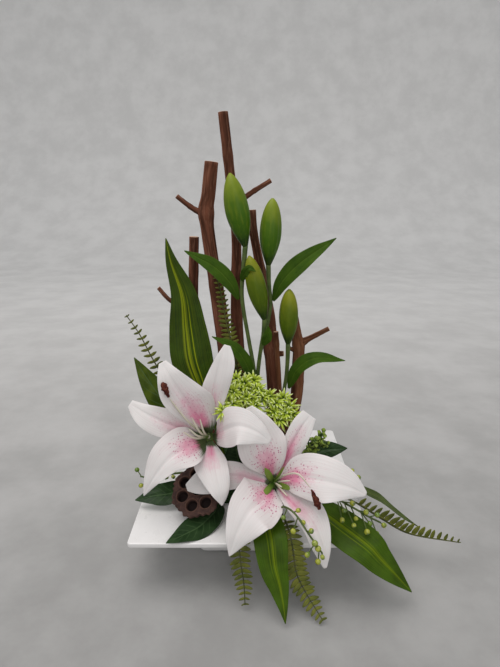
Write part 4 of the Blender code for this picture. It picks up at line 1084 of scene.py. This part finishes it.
def fading_skin(name, roughness, specular, grain, sway, foot, bands, bump):
    """Colour that goes from foot through each band (from, to, colour) along the piece,
    its borders swayed by the grain, which also raises the surface by the bump."""
    mat, tree = new_finish(name, roughness, specular)
    along = lay_of(tree)[1]
    place, scale, detail = grain
    grain = noise(tree, mark(tree, "spread") if place == "spread" else here_of(tree), scale, detail)
    shift = swayed(tree, along, grain, sway)
    colour = foot
    for low, high, beyond in bands:
        colour = shade(tree, shift, low, high, colour, beyond)
    return dressed(mat, colour, grain, *bump)


def anther_skin():
    """Anther: dark red-brown and powdery, with paler grains of pollen."""
    mat, tree = new_finish("anther_brown", 0.9, 0.15)
    here = here_of(tree)
    grain = noise(tree, here, 1500.0, 3.0)
    cloud = noise(tree, here, 300.0, 2.0)
    brown = shade(tree, cloud, 0.35, 0.65, (0.055, 0.012, 0.010), (0.13, 0.035, 0.022))
    brown = shade(tree, grain, 0.58, 0.74, brown, (0.34, 0.15, 0.09))
    return dressed(mat, brown, grain, 0.8, 0.5)


def lobe(points, radii, flat=1.0, stations=20, size=14, finish=0):
    """Limb with radii along it, rounded off as a quarter circle over its last fifth."""
    at = np.linspace(0.0, 1.0, stations)
    radius = spaced(radii, at)
    radius = radius * np.sqrt(np.clip(1.0 - np.clip((at - 0.8) / 0.2, 0.0, 1.0) ** 2, 0.06, 1.0))
    return shell(sweep(route(points, stations), radius, radius * flat, FACING, around(size)), finish)


def make_anther(name, node, points, radii, seed):
    """Anther: a limb whose surface is lumpy and split along its length by a groove."""
    stations, a = 26, around(22)
    at = np.linspace(0.0, 1.0, stations)
    radius = spaced(radii, at)
    groove = 0.22 * np.exp(-((a - np.pi / 2) / 0.35) ** 2)
    swell = 1.0 - groove + 0.10 * np.sin(3 * a + 17 * at[:, None] + seed)
    swell = swell * (1.0 + 0.10 * np.sin(23 * at + seed)[:, None])
    make_piece(name, [shell(sweep(route(points, stations), radius, radius, FACING, a, 0.0, swell))],
               [anther_skin()], [node])


# filaments and pistil are green where they start and fade along them to the tip
cream_thread = fading_skin("stamen_green", 0.45, 0.3, ("spread", 500.0, 3.0), 0.3,
                           (0.10, 0.19, 0.025), [(0.12, 0.60, (0.66, 0.62, 0.50))], (0.3, 0.3))
green_lobe = fading_skin("stigma_green", 0.45, 0.3, ("spread", 500.0, 3.0), 0.3,
                         (0.050, 0.110, 0.010), [(0.12, 0.60, (0.17, 0.26, 0.035))], (0.3, 0.3))
left_start = np.array([-45.0, -64.0, 151.5])
left_tips = [(-59, -91, 187), (-80.2, -95, 210), (-68, -93, 172), (-51, -88, 184), (-62, -94, 176)]
left_threads = [lobe([(-45, -62.3, 150.2), (-45, -66, 153)], [2.0, 1.8])]
for number, tip in enumerate(np.array(left_tips, float)):
    bow = (left_start + tip) / 2 + np.array([0.0, -8.0, -1.0 + number * 0.4])
    left_threads.append(lobe([left_start, bow, tip], [1.3, 1.1, 1.0, 0.9], stations=28, size=10))
make_piece("left_lily_stamens", left_threads, [cream_thread], ["lily1_stamens"])
make_anther("left_lily_anther", "lily1_anther",
            [(-80.5, -95.1, 210.9), (-83.0, -96, 219), (-86, -95, 226.5)],
            [1.1, 2.0, 2.6, 3.4, 3.2, 1.3], 0.7)
right_start = np.array([25.0, -91.0, 113.0])
right_threads = [lobe([(25, -88.3, 111.2), (25, -92, 114)], [2.0, 1.8]),
                 lobe([right_start, (34, -112, 134), (46, -129, 146), (57.5, -136, 135.5)],
                      [1.0, 0.9, 0.8], stations=40, size=10)]
for reach, fat in (((-10, -12, 24), 3.5), ((-13, -18, -5), 3.4), ((18, -17, 3), 3.0),
                   ((10, -10, 25), 1.4)):
    reach = np.array(reach, float)
    sag = right_start + reach * 0.55 + np.array([0.0, -1.2, 0.0])
    radii = [1.4, 0.8 * fat, fat, 0.9 * fat, 0.35 * fat]
    right_threads.append(lobe([right_start, sag, right_start + reach], radii, 0.35, finish=1))
for reach in ((7, -20, 7), (13, -21, -3), (16, -16, 12)):
    reach = np.array(reach, float)
    bow = right_start + reach * 0.5 + np.array([0.0, -3.0, 2.0])
    right_threads.append(lobe([right_start, bow, right_start + reach], [0.9, 0.8, 1.0], size=10))
make_piece("right_lily_stamens", right_threads, [cream_thread, green_lobe],
           ["lily2_stamens"])
make_anther("right_lily_anther", "lily2_anther",
            [(58.2, -137.1, 134.4), (62, -139.6, 126), (66, -141, 116)],
            [0.8, 1.9, 2.8, 3.2, 1.4], 2.9)

# ------------------------------------------------------------------ lotus pod
# The dried seed head of a lotus: a woody funnel with seed holes in its flat face, on a
# stalk pushed into the foam.


def pod_skin():
    """Dried pod: dark purple-brown, redder and paler on the rims, wrinkled and dusty, and near black
    down in the seed holes as painted shade.
    """
    mat, tree = new_finish("pod_brown", 0.8, 0.25)
    here = here_of(tree)
    wrinkle = noise(tree, here, 320.0, 5.0, 0.65, 0.6)
    cloud = noise(tree, here, 90.0, 3.0)
    rim = mark(tree, "lift")
    high = put(tree, "SeparateXYZ", {0: rim}).outputs[0]
    brown = shade(tree, cloud, 0.3, 0.7, (0.036, 0.019, 0.017), (0.085, 0.044, 0.035))
    brown = shade(tree, wrinkle, 0.5, 0.7, brown, (0.15, 0.075, 0.052), 0.5)
    brown = shade(tree, high, 0.0, 1.0, brown, (0.16, 0.085, 0.060), 0.6)
    # painted shade: the deeper a point lies in a seed hole, the nearer to black
    brown = shade(tree, high, -0.05, -0.7, brown, (0.008, 0.005, 0.005), 0.85)
    return dressed(mat, brown, wrinkle, 0.8, 0.8)


def make_pod():
    """Surface of turning: radius and height run up the funnel, round the rim and in over
    the face.  Each seed hole sinks the face where the distance to its middle is small,
    with a raised lip round it; the mark lift says how high or deep a point is."""
    centre, radius, depth = np.array([-57.0, -80.0, 97.0]), 28.5, 26.0
    seed_ring, seed_count, seed_size = 17.5, 7, 5.7
    wall_rings, face_rings, stem_stations = 30, 66, 40
    axis = unit(np.array([-0.2, -0.6, 0.78]))
    side = unit(np.cross(axis, [0.0, 0.0, 1.0]))
    high = np.cross(side, axis)
    outside = np.linspace(0.0, 1.0, wall_rings)
    funnel = np.interp(outside, [0, 0.31, 0.62, 0.82, 0.92, 1], [0.26, 0.50, 0.78, 0.99, 1.03, 0.98])
    out = radius * np.concatenate([funnel, np.linspace(0.955, 0.015, face_rings)])
    height = np.concatenate([depth * (outside - 1.0), np.zeros(face_rings)])
    face = (np.arange(len(out)) >= wall_rings)[:, None]
    a = around(200)
    flat = np.stack([out[:, None] * np.cos(a), out[:, None] * np.sin(a)], -1)
    turns = 2 * np.pi * (np.arange(seed_count) + 0.3) / seed_count
    seeds = np.vstack([[[0.0, 0.0]], seed_ring * np.stack([np.cos(turns), np.sin(turns)], -1)])
    away = np.linalg.norm(flat[:, :, None, :] - seeds, axis=-1).min(axis=-1)
    sink = 1.0 / (1.0 + np.exp((away - seed_size) * 3.2))
    lip = np.exp(-((away - seed_size - 0.9) / 0.8) ** 2)
    shape = np.where(face, 1.2 * lip - 7.5 * sink, 0.0)
    near_rim = np.exp(-((height[:, None] + 3.0) / 5.0) ** 2)
    bumps = 0.035 * np.sin(seed_count * (a - turns[0]) + np.pi / 2)
    bumps = bumps + 0.018 * np.sin(31 * a + 3 * np.sin(2 * a))
    folds = 0.02 * np.sin(23 * a + 2 * np.sin(3 * a))
    flat = flat * np.where(face, 1.0, 1.0 + bumps * near_rim + folds)[..., None]
    rings = (centre + flat[..., :1] * side + flat[..., 1:] * high
             + (height[:, None] + shape)[..., None] * axis) * MM
    # lift: up on the lips and the outer rim, below zero down in the seed holes, where the finish
    # paints shade
    level = np.where(face, lip - 1.4 * sink, 0.35 * near_rim * (1.0 + 20.0 * bumps))
    marks = {"lift": np.repeat(level[..., None], 3, axis=-1)[None], "spread": rings[None] * 1.0}
    foot = standing((-38, -42, 64), (-49, -60, 70), (-52.5, -64, 74.5))
    thick = spaced([2.4, 2.7, 3.6], np.linspace(0.0, 1.0, stem_stations))
    stem_route = route([*foot, centre - axis * 20], stem_stations)
    stem = sweep(stem_route, thick, thick, ROUND, around(16))
    stem_marks = {"lift": stem[1]["lay"] * 0.0, "spread": stem[1]["spread"]}
    make_piece("lotus_pod_head", [skin(rings[None], marks), skin(stem[0], stem_marks)],
               [pod_skin()], ["lotus_pod"])


make_pod()

# ------------------------------------------------------------------ berry sprigs
# Thin branching stems that carry small glossy berries of two lobes, green when young
# and yellow-green when ripe.


def berry_skin():
    """Berry: glossy, deep green shading to yellow-green, with a dull green crown."""
    mat, tree = new_finish("berry_green", 0.22, 0.5, Coat_Weight=0.3)
    lay = lay_of(tree)
    ripe = noise(tree, here_of(tree), 60.0, 2.0)
    mottle = noise(tree, mark(tree, "spread"), 900.0, 2.0)
    green = shade(tree, ripe, 0.40, 0.60, (0.10, 0.19, 0.012), (0.38, 0.40, 0.035))
    green = shade(tree, mottle, 0.45, 0.7, green, (0.45, 0.50, 0.14), 0.25)
    return dressed(mat, shade(tree, lay[1], 0.86, 0.98, green, (0.10, 0.16, 0.04)))


def make_berries(name, node, points, thick, berries, seed):
    """Stem along the route; each berry hangs on a straight stalk from the nearest point
    of the stem to its wanted fork.  A berry is a ball squeezed along one plane."""
    stations = 70
    route_points = route(points, stations)
    fork = np.array([pair[0] for pair in berries], float) * MM
    middle = np.array([pair[1] for pair in berries], float) * MM
    nearest = np.linalg.norm(route_points - fork[:, None, :], axis=-1).argmin(axis=1)
    fork = route_points[nearest]
    steps = np.linspace(0.0, 1.0, 6)[:, None]
    stalks = fork[:, None, :] + (middle - fork)[:, None, :] * steps
    out = unit(middle - fork)
    draw = np.random.default_rng(seed)
    size = draw.uniform(2.4, 3.1, len(berries))
    polar = np.linspace(0.12, np.pi - 0.12, 11)
    paths = middle[:, None, :] - out[:, None, :] * (size[:, None] * np.cos(polar))[..., None] * MM
    radius = size[:, None] * np.sin(polar)
    a = around(14)
    split = 1.0 - 0.30 * np.exp(-(np.cos(a) / 0.28) ** 2)
    aim = unit(draw.normal(size=(len(berries), 3)))[:, None, :]
    balls = sweep(paths, radius, radius, aim, a, 0.0, split)
    along = np.interp(np.linspace(0, 1, stations), [0, 0.3, 1], [thick, thick, 0.9])
    make_piece(name, [shell(balls), shell(sweep(stalks, 0.65, 0.65, ROUND, around(6)), 1),
                      shell(sweep(route_points, along, along, ROUND, around(10)), 1)],
               [berry_green, stem_green], [node])


berry_green = berry_skin()
make_berries("left_berries", "berries_left",
             standing((-42, -26, 70), (-66, -36, 90), (-88, -42, 93), (-112, -44, 88),
                      (-128, -40, 88)), 1.4,
             [((-104, -43, 90), (-106, -51, 83)), ((-112, -44, 88), (-126, -48, 81)),
              ((-96, -43, 92), (-96, -50, 93)), ((-90, -42, 93), (-88, -49, 93)),
              ((-126, -40, 88), (-133, -34, 93))], 21)
make_berries("front_berries", "berries_front",
             standing((24, -38, 80), (28, -84, 82), (30, -107, 91), (34, -119, 103), (44, -132, 104),
                      (56, -146, 92), (68, -155, 78)), 1.1,
             [((42, -130, 104), (47, -132, 108)), ((46, -134, 101), (51.5, -137, 98)),
              ((38, -124, 104), (33, -128, 97)), ((46, -134, 101), (42, -138, 89)),
              ((54, -144, 94), (58, -148, 97)), ((56, -146, 92), (61, -154, 88)),
              ((60, -149, 88), (64, -155, 83)), ((62, -151, 85), (54, -156, 77)),
              ((68, -155, 78), (68, -158, 76)), ((66, -153, 80), (64, -158, 71))], 22)
make_berries("right_berries", "berries_right",
             standing((46, -32, 80), (68, -62, 94), (84, -86, 98), (96, -102, 97), (108, -110, 94),
                      (122, -112, 86), (134, -113, 80)), 1.4,
             [((96, -102, 97), (104, -112, 102)), ((110, -110, 93), (118, -114, 93)),
              ((104, -108, 95), (107, -119, 89)), ((98, -104, 96), (103, -128, 88)),
              ((90, -96, 98), (92, -124, 91)), ((114, -111, 91), (116, -130, 82)),
              ((124, -112, 85), (127, -126, 77)), ((132, -113, 81), (136, -117, 80)),
              ((132, -113, 81), (138, -112, 76)), ((114, -111, 91), (121, -120, 84)),
              ((122, -112, 86), (130, -113, 89)), ((92, -98, 97), (95, -117, 97)),
              ((84, -86, 98), (109, -82, 121)), ((84, -86, 98), (116, -82, 113))], 23)

# ------------------------------------------------------------------ star flowers
# Filler sprigs of small lime-green bursts: a score of narrow curved rays on each head,
# the heads on thin stalks that fork from one stem.


def make_star_sprig(name, node, points, fork, heads, seed):
    """Rays leave each head in directions spread evenly over a ball by the golden angle,
    turned up and forwards, and curve back a little; a ray is narrow, 9 to 13 mm long."""
    draw = np.random.default_rng(seed)
    rays = 21
    number = np.arange(rays) + 0.5
    level = 1.0 - 1.55 * number / rays
    turn = number * np.pi * (3.0 - math.sqrt(5.0))
    ring = np.sqrt(1.0 - level ** 2)
    ball = np.stack([ring * np.cos(turn), -level * 0.62 + ring * np.sin(turn) * 0.75,
                     level * 0.78 + ring * np.sin(turn) * 0.6], -1)
    heads = np.array(heads, float) * MM
    aim = unit(ball[None] + draw.normal(0.0, 0.14, (len(heads), rays, 3))).reshape(-1, 3)
    reach = draw.uniform(9.0, 13.0, len(aim))[:, None, None] * MM
    start = np.repeat(heads, rays, axis=0)[:, None, :]
    steps = np.linspace(0.0, 1.0, 6)[:, None]
    curl = np.array([0.0, 0.25, -0.55]) * draw.uniform(0.1, 0.6, len(aim))[:, None]
    paths = start + (aim[:, None, :] * (0.12 + steps) + curl[:, None, :] * steps ** 2) * reach
    wide = np.array([0.5, 1.1, 1.4, 1.3, 0.85, 0.22])
    stars = shell(sweep(paths, wide, 0.5 * wide, (0.13, -0.7, 0.71), around(5)))
    fork = np.array(fork, float) * MM
    stalks = fork + (heads - fork)[:, None, :] * np.linspace(0.0, 1.0, 8)[:, None]
    stalks = shell(sweep(stalks, 0.8, 0.8, ROUND, around(7)), 1)
    make_piece(name, [stars, stalks, stalk(points, [1.4, 1.4], 40, 10, 1)],
               [star_lime, stem_green], [node])


# mid green at the heart, lime along the ray, cream at its very tip
star_bands = [(0.05, 0.45, (0.46, 0.58, 0.050)), (0.6, 0.95, (0.72, 0.81, 0.38))]
star_lime = fading_skin("star_lime", 0.45, 0.4, ("object", 160.0, 2.0), 0.6,
                        (0.15, 0.26, 0.010), star_bands, (0.2, 0.2))
make_star_sprig("left_star_sprig", "star_flowers_left",
                standing((-8, -26, 56), (-12, -38, 112), (-13, -46, 150), (-14, -48, 172)),
                (-14, -48, 170),
                [(-15, -46, 211), (-24, -54, 202), (-12, -58, 194), (-27, -76, 187),
                 (-27, -44, 196), (-18, -62, 203), (-8, -52, 203), (-19, -68, 192)], 31)
make_star_sprig("middle_star_sprig", "star_flowers_middle",
                standing((6, -28, 56), (4, -40, 112), (4, -46, 150), (5, -46, 172)),
                (5, -46, 170),
                [(4, -42, 208), (2, -58, 193), (9, -50, 200), (-3, -46, 200),
                 (-4, -58, 194), (13, -56, 193), (-6, -50, 209), (6, -62, 187)], 32)
make_star_sprig("right_star_sprig", "star_flowers_right",
                standing((22, -26, 56), (26, -40, 112), (28, -48, 150), (29, -52, 160)),
                (29, -52, 158),
                [(20, -52, 194), (36, -52, 191), (46, -58, 176), (32, -66, 173),
                 (28, -56, 187), (42, -56, 183), (25, -62, 179), (38, -62, 178)], 33)

# ------------------------------------------------------------------ box sprig
# A sprig of box pushed into the foam at the right: a twig with side twigs that are
# closely set with small rounded leathery leaves.


def make_box_sprig():
    """Leaves on twelve side twigs: each leaf grows from a point of a twig, turned by
    the golden angle from the one before, and is a flat oval 5 to 7.5 mm long."""
    draw = np.random.default_rng(41)
    spine = route(standing((36, -30, 60), (56, -44, 104), (67, -50, 122), (80, -54, 142)), 60)
    level = np.repeat(np.arange(4), 3)
    turn = 2 * np.pi * (np.tile(np.arange(3), 4) + 0.5 * (level % 2) + 0.1) / 3
    reach = 15.0 - 1.6 * level
    root = spine[np.minimum(36 + 7 * level, 57)]
    wave = reach * np.sin(turn)
    out = np.stack([reach * np.cos(turn), 0.5 * wave, 4 + 0.6 * wave], -1) * MM
    twig_steps = np.linspace(0.0, 0.9, 8)[:, None]
    twigs = root[:, None, :] + out[:, None, :] * twig_steps
    spots = root[:, None, :] + out[:, None, :] * np.linspace(0.25, 0.95, 8)[:, None]
    spots = spots.reshape(-1, 3)
    golden = np.arange(len(spots)) * 2.4
    aim = np.stack([np.cos(golden), 0.7 * np.sin(golden), 0.5 + 0.6 * np.sin(golden * 1.7)], -1)
    aim = unit(aim + draw.normal(0.0, 0.25, aim.shape))
    length = draw.uniform(5.0, 7.5, len(spots))[:, None, None] * MM
    steps = np.linspace(0.0, 1.0, 6)[:, None]
    paths = spots[:, None, :] + aim[:, None, :] * steps * length
    wide = np.array([0.35, 1.6, 2.4, 2.6, 2.1, 0.6])
    up = np.cross(np.cross(aim, [0.0, -0.5, 0.9]), aim)[:, None, :]
    leaves = shell(sweep(paths, wide, 0.35, up, around(6)))
    make_piece("box_foliage", [leaves, shell(sweep(twigs, 0.6, 0.6, ROUND, around(7)), 1),
                               shell(sweep(spine, 1.4, 1.4, ROUND, around(10)), 1)],
               [box_green, stem_green], ["box_sprig"])


# dark green at the foot of a leaf, yellow-green towards its rounded tip
box_green = fading_skin("box_green", 0.5, 0.25, ("object", 90.0, 3.0), 0.9, (0.016, 0.046, 0.008),
                        [(0.15, 0.8, (0.22, 0.31, 0.045))], (0.2, 0.3))
make_box_sprig()
